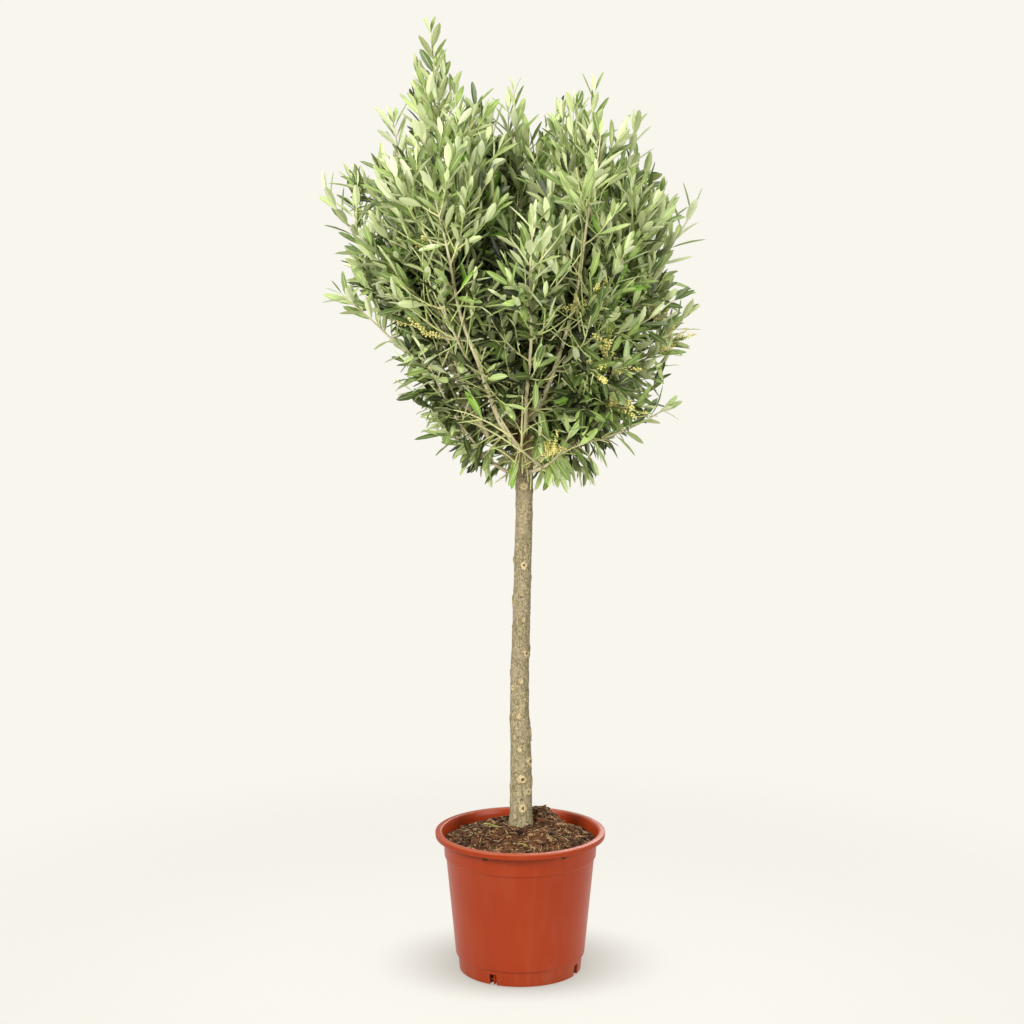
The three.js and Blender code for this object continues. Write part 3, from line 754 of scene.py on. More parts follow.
    def line_from(self, start, direction, length, rise, seeded):
        """A shoot's line, drawn upwards, or down near the crown's foot, with a slight wander."""
        steps = max(3, round(length / self.BEND_STEP))
        rise *= 1 - 2.4 * clamp01((self.LEVEL_BELOW - start.z) / 0.15)
        rise += self.TOP_RISE * self.height_share(start)
        points, heading = [start.copy()], direction.copy()
        for _ in range(steps):
            wander = Vector([seeded.between(-1, 1) for _ in range(3)]) * 0.08
            heading = (heading + UP * (rise / steps) + wander).normalized()
            points.append(points[-1] + heading * (length / steps))
        return np.array(points)

    def longest(self, start, direction, length, rise, seeded):
        """The shoot as long as asked, or cut back to what keeps to the crown and off the limbs."""
        line = self.line_from(start, direction, length, rise, seeded)
        fits = in_crown(line, self.MARGIN)
        fits[:2] = True
        for i in range(2, len(line)):
            place = Vector(line[i])
            if not (self.clear(place, self.WOOD_SLACK) and in_frame(place, self.TWIG_SLACK)):
                fits[i] = False
        stop = int(np.argmin(fits)) if not fits.all() else len(line)
        line = line[:stop]
        spacing = length / max(3, round(length / self.BEND_STEP))
        return line if (len(line) - 1) * spacing > self.TWIG_LEAST else None

    def grow_limb(self, limb, seeded):
        last = 1 - 0.92 * self.leaf.length / limb.length
        first = limb.wood - 0.02
        shares = np.linspace(first, last, 24)
        line = np.array([limb.at(s) for s in shares])
        tone = min(self.tone(limb.at(0.9), seeded), len(GROWN) - 1)
        leader = Shoot(line, limb.radius(first), 0.0011, 0, limb, 0.4, tone)
        self.shoots.append(leader)
        self.bear(leader, seeded)
        low, high = self.SHOOT_SPAN
        if limb.at(1).z > self.LEADER_BARE[0]:
            high = min(high, 1 - self.LEADER_BARE[1] / leader.length)
        pairs = round(leader.length * (high - low) / self.SHOOT_STEP)
        phase = seeded.between(0, TURN)
        for i in range(pairs):
            share = max(0.0, low + (high - low) * (i + seeded.between(-0.25, 0.25)) / pairs)
            distance = share * leader.length
            start, tangent = leader.at(distance), leader.along(distance)
            for half in (0, TURN / 2):
                turn = phase + i * TURN / 4 + half + seeded.between(-0.3, 0.3)
                angle = self.SHOOT_ANGLE + seeded.between(-12, 14)
                direction = leaning(tangent, aside(tangent, turn), angle)
                foot, tip = self.SHOOT_LENGTH
                length = (foot + (tip - foot) * share**0.8) * seeded.between(0.7, 1.15)
                self.grow_shoot(limb, start, direction, length, seeded)

    def grow_inside(self, seeded):
        """Short shoots on the bare wood of the limbs and round the top of the stem."""
        golden = math.radians(137.5)
        turn = 0.0
        for limb in limbs().values():
            bare = limb.length * limb.wood
            for i in range(int(bare / self.INNER_STEP)):
                share = limb.wood * (i + 0.8) / (bare / self.INNER_STEP)
                turn += golden
                direction = leaning(limb.along(share), aside(limb.along(share), turn), seeded.between(55, 85))
                self.grow_shoot(limb, limb.at(share), direction, seeded.between(*self.INNER_LENGTH), seeded)
        for i in range(self.STEM_SHOOTS):
            z = self.STEM_SHOOTS_FROM + (STEM_TIP - 0.01 - self.STEM_SHOOTS_FROM) * i / self.STEM_SHOOTS
            turn += golden
            direction = leaning(UP, aside(UP, turn), seeded.between(60, 85))
            length = seeded.between(*self.STEM_SHOOT_LENGTH)
            self.grow_shoot(limbs()["middle"], stem_centre(z), direction, length, seeded)

    def grow_shoot(self, limb, start, direction, length, seeded):
        """A side shoot with its leaves, and pairs of twigs up it with theirs."""
        tone = self.tone(start + direction * length * 0.7, seeded)
        line = self.longest(start, direction, length, self.SHOOT_RISE, seeded)
        if line is None:
            return
        shoot = Shoot(line, *self.SHOOT_RADII, 1, limb, 0.12, tone)
        self.shoots.append(shoot)
        self.bear(shoot, seeded)
        pairs = int(shoot.length * 0.75 / self.TWIG_STEP)
        phase = seeded.between(0, TURN)
        for i in range(pairs):
            distance = shoot.length * 0.14 + (i + seeded.between(0, 0.4)) * self.TWIG_STEP
            share = distance / shoot.length
            tangent = shoot.along(distance)
            for half in (0, TURN / 2):
                if seeded.next() < self.ODD_TWIG:
                    continue
                turn = phase + i * TURN / 4 + half
                heading = leaning(tangent, aside(tangent, turn), self.TWIG_ANGLE + seeded.between(-10, 12))
                foot, tip = self.TWIG_LENGTH
                reach = (foot + (tip - foot) * share) * seeded.between(0.6, 1.15)
                twig = self.longest(shoot.at(distance), heading, reach, self.SHOOT_RISE, seeded)
                if twig is not None:
                    made = Shoot(twig, *self.TWIG_RADII, 2, limb, 0.2, tone)
                    self.shoots.append(made)
                    self.bear(made, seeded)

    def bear(self, shoot, seeded):
        """Opposite pairs of leaves up a shoot, each a quarter turn on, closing in to its tip."""
        leaf = self.leaf
        phase = seeded.between(0, TURN)
        distance = shoot.length * shoot.bare
        pair = 0
        while distance < shoot.length - 0.004:
            share = distance / shoot.length
            root, tangent = shoot.at(distance), shoot.along(distance)
            for half in (0, TURN / 2):
                missing = self.MISSING + self.FOOT_THIN * (1 - share) * (shoot.order < 2)
                missing += self.LOW_THIN * (root.z < self.THIN_BELOW)
                missing += self.HOLLOW_THIN * self.in_hollow(root)
                missing *= 1 if shoot.order else self.LEADER_THIN
                if seeded.next() < missing:
                    continue
                turn = phase + pair * TURN / 4 + half + seeded.between(-0.35, 0.35)
                spread = (self.LEAF_ANGLES[0] - self.LEAF_ANGLES[1] * share) * seeded.between(0.75, 1.3)
                spread *= 1 - 0.25 * self.height_share(root) if shoot.order else 1.25
                size = leaf.size_on(share) * seeded.between(0.85, 1.12)
                size *= self.LEADER_LEAF if shoot.order == 0 and share > 0.6 else 1
                self.add_leaf(shoot, root, tangent, turn, spread, size, seeded)
            spacing = self.LEADER_GAP if shoot.order == 0 and root.z > self.LEADER_BARE[0] else 1.0
            distance += leaf.gap * spacing * seeded.between(0.8, 1.15) * (1.12 - 0.3 * share)
            pair += 1
        for half in (0, TURN / 2):
            root, tangent = shoot.at(shoot.length), shoot.along(shoot.length)
            spread = seeded.between(*self.TIP_ANGLES) * (1 if shoot.order else self.TIP_SPREAD)
            size = self.TIP_SIZE * seeded.between(0.85, 1.1)
            self.add_leaf(shoot, root, tangent, phase + half, spread, size, seeded)

    def leaf_tone(self, shoot, seeded):
        """Mostly its spray's tone; some leaves are older, younger or fresh."""
        draw = seeded.next()
        if shoot.tone == FRESH or draw > 0.56:
            return shoot.tone
        if draw < 0.02:
            return FRESH if shoot.order else shoot.tone
        step = 3 if draw < 0.1 else 1 if draw < 0.27 else -1 if draw < 0.43 else -2
        return max(0, min(len(GROWN) - 1, shoot.tone + step))

    def add_leaf(self, shoot, root, tangent, turn, spread, size, seeded):
        """One leaf, unless it leaves the crown, touches wood or hides a bough that shows."""
        leaf = self.leaf
        side = aside(tangent, turn)
        along = leaning(tangent, side, spread)
        droop = clamp01((self.DROOP_BELOW - root.z) / 0.3)
        along = (along - UP * droop * seeded.between(0.1, 1.1)).normalized()
        face = tangent * 0.8 + UP * 0.35 + Vector([seeded.between(-1, 1) for _ in range(3)]) * 0.38
        face = (face - along * face.dot(along)).normalized()
        length = leaf.length * size
        middle, tip = root + along * length * 0.5, root + along * length
        tone = self.leaf_tone(shoot, seeded)
        bend = seeded.between(-0.03, 0.12) + 0.16 * droop * seeded.next()
        sickle = seeded.between(-0.06, 0.06)
        width = leaf.width * size**0.7 * seeded.between(0.85, 1.15)
        slack = -LEADER_SLACK if shoot.order == 0 else -0.004
        if not in_crown(np.array([tip]), slack)[0] or not in_frame(tip, self.FRAME_SLACK):
            return
        if not self.clear(middle, 0.002) or not self.clear(tip, 0.001) or self.hides(middle):
            return
        self.leaves.append((shoot.limb.side, *root, *along, *face, length, width, bend, sickle, tone))


class LeafShape:
    """The sizes of a leaf, and the closed blade with its midrib that every leaf is made from."""

    STATIONS = ((0.09, 0.2), (0.33, 0.84), (0.62, 1.0), (0.88, 0.6))  # share of length, of width
    RIB = 0.1
    FOLD = 0.24
    THICKNESS = 0.0005

    def __init__(self, length, width, gap):
        self.length, self.width, self.gap = length, width, gap

    def size_on(self, share):
        """Leaves are smaller at a shoot's foot and at its tip."""
        return 0.7 + 0.36 * math.sin(math.pi * clamp01(0.18 + 0.72 * share))

    def template(self):
        """Points as rows of (along, across, up for the fold, up for the thickness), then the faces of
        three and of four corners, each with its part: 0 above, 1 the midrib, 2 below."""
        rows = [(0, 0, 0, 0)]
        for along, across in self.STATIONS:
            rib = self.RIB * across
            rows += [(along, across, across, 0), (along, rib, 0, 0), (along, -rib, 0, 0)]
            rows += [(along, -across, across, 0), (along, 0, 0, -1)]
        rows.append((1, 0, 0, 0))
        tip, far = len(rows) - 1, 5 * (len(self.STATIONS) - 1)
        strips = ((1, 2, 0), (2, 3, 1), (3, 4, 0), (4, 5, 2), (5, 1, 2))  # from point, to point, part
        triangles, quads = [], []
        for a, b, part in strips:
            triangles += [(0, b, a, part), (tip, a + far, b + far, part)]
            for i in range(0, far, 5):
                quads.append((a + i, b + i, b + i + 5, a + i + 5, part))
        return np.array(rows, float), np.array(triangles), np.array(quads)


GROWN = ("deep", "shaded", "mature", "grown", "pale", "silver")
FRESH = len(GROWN)


@functools.lru_cache
def crown(length, width, gap):
    return Crown(LeafShape(length, width, gap))


def grown_crown(context):
    settings = context.scene.olive_foliage
    return crown(settings.leaf_length, settings.leaf_width, settings.leaf_gap)


# ---------------------------------------------------------------- settings


def tint(name, description, code):
    """A colour setting."""
    return FloatVectorProperty(
        name=name, description=description, subtype="COLOR", size=3, min=0, max=1, default=colour(code)
    )


def watts(name, description, default):
    """A lamp's power."""
    return FloatProperty(name=name, description=description, default=default, min=0, unit="POWER")


class OlivePotSettings(bpy.types.PropertyGroup):
    """The nursery pot."""

    facets: IntProperty(name="Facets", description="Steps round the pot", default=144, min=24, max=360)
    plastic: tint("Plastic", "Colour of the moulded plastic", "a8380c")
    dust: tint("Dust", "Dry earth dust near the foot and in the groove", "b98a6a")


class OliveSoilSettings(bpy.types.PropertyGroup):
    """The root ball and the litter on it."""

    crumbs: IntProperty(name="Crumbs", description="Loose crumbs and bark flakes", default=1500, min=0)
    fibres: IntProperty(name="Fibres", description="Root and wood fibres", default=820, min=0)
    relief: FloatProperty(
        name="Relief", description="Roughness of the bed", default=0.0035, min=0, subtype="DISTANCE"
    )
    earth: tint("Earth", "Colour of the moist bed", "704a2e")


class OliveWoodSettings(bpy.types.PropertyGroup):
    """Stem and limbs."""

    cell: FloatProperty(
        name="Mesh cell", description="Size of the faces", default=0.00128, min=0.001, subtype="DISTANCE"
    )
    relief: FloatProperty(
        name="Relief", description="Depth of the bark's ridges", default=0.0008, min=0, subtype="DISTANCE"
    )
    bark: tint("Bark", "Grey-green bark of the stem", "a99b78")
    ridge: tint("Ridges", "Weathered light ridges", "dccfa8")
    # The hollows' colour is painted shade: the finish lays it in the bark's low places, its cracks and a ring
    # round each scar.
    hollow: tint("Hollows", "Cracks and stains", "7a6c4e")
    limb: tint("Limbs", "Younger bark of the limbs", "f4e7b8")
    scar: tint("Scars", "Cut wood of pruned shoots", "ddc594")


class OliveFoliageSettings(bpy.types.PropertyGroup):
    """Twigs, leaves and flower buds."""

    leaf_length: FloatProperty(
        name="Leaf length", description="Of a full leaf", default=0.053, min=0.02, subtype="DISTANCE"
    )
    leaf_width: FloatProperty(
        name="Leaf width", description="Of a full leaf", default=0.0126, min=0.004, subtype="DISTANCE"
    )
    leaf_gap: FloatProperty(
        name="Leaf gap", description="Between pairs of leaves", default=0.022, min=0.01, subtype="DISTANCE"
    )
    # The tones run from dark to light; the crown deals them out by place, dark inside as painted shade and
    # pale high, outside and at the foot as painted light, besides the leaves' age.
    upper_deep: tint("Deep, above", "Oldest leaves, low and inside", "242d10")
    under_deep: tint("Deep, below", "Underside of the oldest leaves", "6a7248")
    upper_shaded: tint("Shaded, above", "Leaves half way out", "3a481b")
    under_shaded: tint("Shaded, below", "Underside of shaded leaves", "a2aa72")
    upper_mature: tint("Mature, above", "Full leaves", "52652f")
    under_mature: tint("Mature, below", "Underside of full leaves", "bcc48a")
    upper_grown: tint("Grown, above", "Outer leaves", "6e833e")
    under_grown: tint("Grown, below", "Underside of outer leaves", "cad498")
    upper_pale: tint("Pale, above", "High outer leaves", "8ea456")
    under_pale: tint("Pale, below", "Underside of high leaves", "d6dfa6")
    upper_silver: tint("Silver, above", "Top shoots", "aabc74")
    under_silver: tint("Silver, below", "Underside of top shoots", "e4ebba")
    upper_fresh: tint("Fresh, above", "Newest shoots", "74a030")
    under_fresh: tint("Fresh, below", "Underside of the newest shoots", "b2ca74")
    buds: tint("Buds", "Flower buds before they open", "e4da84")


class OliveStageSettings(bpy.types.PropertyGroup):
    """Floor, light and camera."""

    backdrop: tint("Backdrop", "Colour behind the plant", "f9f6ee")
    key: watts("Key light", "From the front left, on all but the floor", 125)
    fill: watts("Fill light", "From the front right, on all but the floor", 72)
    top: watts("Top light", "From above, on the wood, the pot and the earth", 90)
    high: watts("High light", "From above, on the crown", 58)
    low: watts("Low light", "From below, on the crown and the wood", 74)
    back: watts("Back light", "From behind, on all but the floor", 45)
    floor: watts("Floor light", "From above, on the floor", 54)
    ambient: FloatProperty(name="Ambient", description="Light from all round", default=0.26, min=0)
    lens: FloatProperty(name="Lens", description="Focal length", default=80, min=20, unit="CAMERA")


# ---------------------------------------------------------------- pot


def pot_outline():
    """The wall's outline from the middle of the underside, up the outside and down the inside."""
    lip_foot = POT_BOX[1].z - LIP_DROP
    rim = POT_BOX[1].z
    outside = [
        (FOOT_RADIUS, 0), (FOOT_TOP_RADIUS, FOOT_HEIGHT), (BODY_FOOT_RADIUS, FOOT_HEIGHT + STEP_RISE),
        (BODY_TOP_RADIUS, COLLAR_FOOT[1] - STEP_RISE), COLLAR_FOOT, (COLLAR_TOP_RADIUS, lip_foot + 0.0004),
        (LIP_RADIUS - 0.0006, lip_foot - 0.0002), (LIP_RADIUS, rim - 0.001),
        (LIP_INNER_RADIUS + 0.001, rim), (LIP_INNER_RADIUS - 0.0026, lip_foot + 0.002),
    ]  # fmt: skip
    inside = [
        (BODY_TOP_RADIUS - WALL, COLLAR_FOOT[1] - STEP_RISE),
        (BODY_FOOT_RADIUS - WALL, FOOT_HEIGHT + STEP_RISE),
        (FOOT_TOP_RADIUS - WALL, FOOT_HEIGHT), (FOOT_RADIUS - WALL, FLOOR),
    ]  # fmt: skip
    sizes = [0.002, 0.0008, 0.0012, 0.0009, 0.0012, 0.0006, 0.0012, 0.0024, 0.003, 0.002, 0, 0, 0, 0.001]
    return [(0, 0), *rounded(outside + inside, sizes, 4), (0, FLOOR)]


def block_at(name, angle, radius, depth, width, bottom, top):
    """A box set round the pot's axis, reaching inwards from a radius."""
    middle = Vector((radius - depth / 2, 0, (bottom + top) / 2))
    middle.rotate(Matrix.Rotation(angle, 3, "Z"))
    block = added(bpy.ops.mesh.primitive_cube_add, name, size=1, location=middle, rotation=(0, 0, angle))
    block.scale = (depth, width, top - bottom)
    return settled(block)


def around(rule):
    return [math.radians(rule["first"] + i * 360 / rule["count"]) for i in range(rule["count"])]


def pot_plastic(settings):
    finish = Finish("Moulded plastic")
    cloud = finish.noise(9, 3)
    streak = finish.noise(60, 3, 0.6, finish.stretched((1, 1, 0.12)))
    scuff = finish.band(finish.noise(210, 5, 0.7), 0.62, 0.74)
    height = finish.axis("Z")
    low = finish.band(height, 0.0, 0.05, 1, 0)
    dusty = (low * 0.5 + 0.16) * finish.band(streak * 0.6 + cloud * 0.4, 0.44, 0.68)
    base = finish.mixed(cloud, opaque(settings.plastic, 0.94), opaque(settings.plastic, 1.06))
    rubbed = finish.mixed(scuff * 0.1, base, opaque(settings.plastic, 1.35))
    dusted = finish.mixed(dusty * 0.3, rubbed, opaque(settings.dust))
    # A paler band along the top of the lip: a painted highlight, partly also rubbed wear.
    lip = finish.band(height, POT_BOX[1].z - 0.0045, POT_BOX[1].z - 0.0008) * (0.3 + cloud * 0.3)
    lip_highlighted = finish.mixed(lip, dusted, opaque(colour("c9785a")))
    grain = finish.noise(1400, 2)
    return finish.wear(
        base_color=lip_highlighted,
        roughness=0.3 + cloud * 0.08 + scuff * 0.08 + dusty * 0.14,
        specular_ior_level=0.24,
        normal=finish.bump(grain * 0.35 + streak * 0.65, 0.00018, 0.5),
    )


class OLIVE_OT_pot(bpy.types.Operator):
    """Model the moulded nursery pot with its rolled lip, drain notches and vents"""

    bl_idname = "olive.pot"
    bl_label = "Pot"
    bl_options = {"REGISTER", "UNDO"}

    def execute(self, context):
        settings = context.scene.olive_pot
        pot = turned("nursery_pot", pot_outline(), settings.facets)
        lip_foot = POT_BOX[1].z - LIP_DROP
        holes = [
            block_at("drain", a, FOOT_RADIUS + 0.006, DRAIN["depth"], DRAIN["width"], -0.004, DRAIN["top"])
            for a in around(DRAIN)
        ]
        holes += [
            block_at("vent", a, COLLAR_TOP_RADIUS + 0.003, VENT["depth" if math.sin(a) < 0 else "blind"],
                     VENT["width"], lip_foot - VENT["height"] - VENT["drop"], lip_foot - VENT["drop"])
            for a in around(VENT)
        ]  # fmt: skip
        cut(pot, [joined("holes", holes)])
        fins = [
            block_at("fin", a, FOOT_RADIUS - f["inset"], f["depth"], f["width"], f["bottom"], f["top"])
            for a in around(DRAIN)
            for f in (LEDGE_FIN, LEDGE)
        ]
        fins = [modified(fin, "BEVEL", width=0.0004, segments=2) for fin in fins]
        pot = joined("nursery_pot", [pot, *fins])
        shaded(finished(pot, pot_plastic(settings)), 32)
        pot.visible_diffuse = False
        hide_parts("pot")
        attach(pot, "root")
        return {"FINISHED"}


# ---------------------------------------------------------------- root ball


@functools.lru_cache
def clods():
    seeded = Seeded(CLODS["seed"])
    made = []
    for _ in range(CLODS["count"]):
        angle = seeded.between(0, TURN)
        out = seeded.between(0.25, 0.85) * BODY_TOP_RADIUS
        height = CLODS["height"] * seeded.between(0.3, 1)
        radius = CLODS["radius"] * seeded.between(0.7, 1.3)
        made.append((out * math.cos(angle), out * math.sin(angle), height, radius))
    return made


def bed_height(x, y, relief):
    """Height of the earth at each place: the mound, its clods, the clump behind the stem, crumbs."""
    out = np.clip((np.hypot(x, y) - SOIL_SEAT_RADIUS) / (BODY_TOP_RADIUS - SOIL_SEAT_RADIUS), 0, 1)
    mound = SOIL_TOP_HEIGHT + (SOIL_EDGE_HEIGHT - SOIL_TOP_HEIGHT) * out * out * (3 - 2 * out)
    lumps = sum(h * np.exp(-((x - a) ** 2 + (y - b) ** 2) / r**2) for a, b, h, r in clods())
    a, b = CLUMP["place"]
    wide = np.where(x < a, CLUMP["left"], CLUMP["right"])
    clump = CLUMP["height"] * np.exp(-(((x - a) / wide) ** 2 + ((y - b) / CLUMP["deep"]) ** 2))
    flat = np.column_stack([x, y, np.zeros_like(x)])
    rough = noise_at(flat, 70, 4) + 0.5 * noise_at(flat, 260, 2, 5.0)
    return mound + lumps * np.sin(np.pi * np.sqrt(out)) + clump + relief * rough


def earth(settings):
    finish = Finish("Moist earth")
    coarse, fine = finish.noise(42, 4, 0.6), finish.noise(310, 4, 0.7)
    crumb = finish.cells(230)
    patches = finish.band(coarse, 0.35, 0.65)
    dark = finish.mixed(patches, opaque(settings.earth, 0.3), opaque(settings.earth, 1.0))
    red = finish.mixed(finish.band(fine, 0.5, 0.72) * 0.6, dark, opaque(colour("8a5a36")))
    return finish.wear(
        base_color=red,
        roughness=0.82 + fine * 0.15,
        specular_ior_level=0.25,
        normal=finish.bump(fine * 0.6 + crumb * 0.4, 0.0016, 0.9),
    )


def soil_bed(settings):
    """A disc of earth with its rough top, and its side and foot inside the pot."""
    bed = added(bpy.ops.mesh.primitive_grid_add, "root_ball", x_subdivisions=150, y_subdivisions=150, size=2)
    places = places_of(bed)
    radius = COLLAR_TOP_RADIUS - WALL - 0.0004
    x = places[:, 0] * np.sqrt(1 - places[:, 1] ** 2 / 2) * radius
    y = places[:, 1] * np.sqrt(1 - places[:, 0] ** 2 / 2) * radius
    set_places(bed, np.column_stack([x, y, bed_height(x, y, settings.relief)]))
    bpy.ops.object.mode_set(mode="EDIT")
    bpy.ops.mesh.select_mode(type="EDGE")
    bpy.ops.mesh.select_all(action="DESELECT")
    bpy.ops.mesh.select_non_manifold()
    for drop, narrow in ((-0.03, 0.972), (-0.18, 0.83), (-0.012, 0.86)):
        bpy.ops.mesh.extrude_region_move(TRANSFORM_OT_translate={"value": (0, 0, drop)})
        bpy.ops.transform.resize(value=(narrow, narrow, 1), center_override=(0, 0, 0))
    bpy.ops.transform.resize(value=(1, 1, 0), center_override=(0, 0, 0.022))
    bpy.ops.mesh.edge_face_add()
    bpy.ops.mesh.select_all(action="SELECT")
    bpy.ops.mesh.normals_make_consistent(inside=False)
    alone(bed)
    return shaded(bed, 70)


def random_turns(draws, tilt):
    """Turning matrices (n, 3, 3): any way round Z, then tilted by up to an angle."""
    spin, lean, way = draws.uniform(0, TURN, len(tilt)), tilt, draws.uniform(0, TURN, len(tilt))
    about_z = np.array([Matrix.Rotation(a, 3, "Z") for a in spin])
    leaned = np.array([
        Matrix.Rotation(t, 3, Vector((math.cos(w), math.sin(w), 0))) for t, w in zip(lean, way)
    ])  # fmt: skip
    return leaned @ about_z


def grain_arrays(count):
    """A twenty-faced grain of radius 1, and the faces of so many copies of it."""
    grain = added(bpy.ops.mesh.primitive_ico_sphere_add, "grain", subdivisions=1, radius=1)
    shape = places_of(grain)
    faces = np.array([tuple(p.vertices) for p in grain.data.polygons])
    bpy.data.objects.remove(grain)
    offsets = (np.arange(count) * len(shape))[:, None, None]
    return shape, (faces[None] + offsets).reshape(-1, 3)


def crumb_arrays(settings, draws):
    """Crumbs and flakes: a grain, stretched, dented and turned for each."""
    count = settings.crumbs
    shape, faces = grain_arrays(count)
    radius = np.sqrt(draws.uniform(0.02, 1, count)) * LITTER_RADIUS
    angle = draws.uniform(0, TURN, count)
    x, y = radius * np.cos(angle), radius * np.sin(angle)
    size = 0.0012 + 0.0042 * draws.uniform(0, 1, count) ** 2.4
    ranges = ((0.9, 2.3), (0.7, 1.3), (0.3, 0.8))
    stretch = np.column_stack([draws.uniform(low, high, count) for low, high in ranges])
    dents = draws.uniform(0.72, 1.22, (count, len(shape), 1))
    turns = random_turns(draws, draws.uniform(0, 0.7, count))
    local = shape[None] * dents * (stretch * size[:, None])[:, None]
    placed = np.einsum("nij,nvj->nvi", turns, local)
    placed += np.column_stack([x, y, bed_height(x, y, settings.relief) + size * 0.15])[:, None]
    slots = np.repeat(draws.choice(4, count, p=(0.3, 0.36, 0.2, 0.14)), len(faces) // count)
    return placed.reshape(-1, 3), faces, slots


def fibre_arrays(settings, draws):
    """Fibres and splinters: thin bent strands that lie on the bed."""
    lines, radii, kinds = [], [], []
    for _ in range(settings.fibres):
        kind = draws.choice(3, p=(0.42, 0.36, 0.22))
        length = draws.uniform(0.005, 0.019)
        radius = np.sqrt(draws.uniform(0.03, 1)) * FIBRE_RADIUS
        angle, heading = draws.uniform(0, TURN), draws.uniform(0, TURN)
        curl = draws.normal(0, 0.28)
        steps = np.linspace(-0.5, 0.5, 5)
        gone, bow = length * steps, curl * length * steps**2
        x = radius * math.cos(angle) + gone * math.cos(heading) - bow * math.sin(heading)
        y = radius * math.sin(angle) + gone * math.sin(heading) + bow * math.cos(heading)
        out = np.maximum(1, np.hypot(x, y) / 0.139)
        x, y = x / out, y / out
        lift = draws.uniform(-0.12, 0.3) * length * (steps + 0.5)
        bed = bed_height(x, y, settings.relief)
        z = bed * 0.5 + bed.mean() * 0.5
        lines.append(np.column_stack([x, y, z + 0.0008 + lift]))
        radii.append((draws.uniform(0.0005, 0.0013), 0.0003))
        kinds.append(kind)
    for x, y, heading, length in BLADES:
        steps = np.linspace(-0.5, 0.5, 5)
        x = x + length * steps * math.cos(math.radians(heading))
        y = y + length * steps * math.sin(math.radians(heading))
        top = bed_height(x, y, settings.relief).max() + 0.001
        lines.append(np.column_stack([x, y, top - 0.006 * steps**2]))
        radii.append((0.0015, 0.0004))
        kinds.append(3)
    return lines, radii, kinds


def plain_finish(name, rgb, roughness, gloss=0.3):
    """A finish of one base colour."""
    return Finish(name).wear(base_color=opaque(rgb), roughness=roughness, specular_ior_level=gloss)


LITTER = (
    ("Dark crumb", "2c1c10"), ("Brown crumb", "5c3d25"), ("Red crumb", "73482a"), ("Bark flake", "a58058"),
    ("Wood fibre", "b08c62"), ("Straw fibre", "d2b585"), ("Root", "4a2f1c"), ("Grass blade", "c2c26a"),
)  # fmt: skip


class OLIVE_OT_soil(bpy.types.Operator):
    """Model the root ball in the pot, with crumbs, bark flakes and fibres on it"""

    bl_idname = "olive.soil"
    bl_label = "Root ball"
    bl_options = {"REGISTER", "UNDO"}

    def execute(self, context):
        settings = context.scene.olive_soil
        bed = finished(soil_bed(settings), earth(settings))
        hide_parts("soil")
        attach(bed, "root")
        draws = np.random.default_rng(12)
        places, faces, slots = crumb_arrays(settings, draws)
        lines, radii, kinds = fibre_arrays(settings, draws)
        tubes, quads, ends, tube_of_quad, tube_of_end = tube_arrays(lines, radii, 3)
        kinds = np.array(kinds) + 4  # after the four kinds of crumb
        litter = mesh_piece(
            "earth_litter",
            np.concatenate([places, tubes]),
            [faces, quads + len(places), ends + len(places)],
            [slots, kinds[tube_of_quad], kinds[tube_of_end]],
        )
        finished(litter, *(plain_finish(name, colour(code), 0.85) for name, code in LITTER))
        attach(litter, "root")
        return {"FINISHED"}


# ---------------------------------------------------------------- tubes


def tube_arrays(lines, radii, sides):
    """Closed tubes along lines, tapering between two radii: places, four-sided and three-sided
    faces, and which line each face belongs to."""
    places, quads, ends, tube_of_quad, tube_of_end = [], [], [], [], []
    ring = np.arange(sides)
    around_ring = np.column_stack([np.cos(ring * TURN / sides), np.sin(ring * TURN / sides)])
    start = 0
    for which, (line, (foot, tip)) in enumerate(zip(lines, radii)):
        count = len(line)
        along = np.gradient(line, axis=0)
        along /= np.linalg.norm(along, axis=1)[:, None]
        middle = along.mean(axis=0)
        level = np.eye(3)[np.argmin(np.abs(middle))]
        first = np.cross(np.tile(level, (count, 1)), along)
        first /= np.linalg.norm(first, axis=1)[:, None]
        second = np.cross(along, first)
        size = np.linspace(foot, tip, count)[:, None, None]
        rings = around_ring[None, :, :1] * first[:, None] + around_ring[None, :, 1:] * second[:, None]
        rings = rings * size + line[:, None]
        foot_end, tip_end = line[0] - along[0] * foot * 0.3, line[-1] + along[-1] * tip
        places += [rings.reshape(-1, 3), foot_end[None], tip_end[None]]
        a = start + np.arange(count - 1)[:, None] * sides + ring
        b = start + np.arange(count - 1)[:, None] * sides + (ring + 1) % sides
        quads.append(np.stack([a, b, b + sides, a + sides], axis=-1).reshape(-1, 4))
        foot_index, tip_index = start + count * sides, start + count * sides + 1
        last = start + (count - 1) * sides
        ends.append(np.column_stack([np.full(sides, foot_index), start + (ring + 1) % sides, start + ring]))
        ends.append(np.column_stack([np.full(sides, tip_index), last + ring, last + (ring + 1) % sides]))
        tube_of_quad.append(np.full((count - 1) * sides, which))
        tube_of_end.append(np.full(2 * sides, which))
        start += count * sides + 2
    return tuple(np.concatenate(rows) for rows in (places, quads, ends, tube_of_quad, tube_of_end))


# ---------------------------------------------------------------- stem and limbs

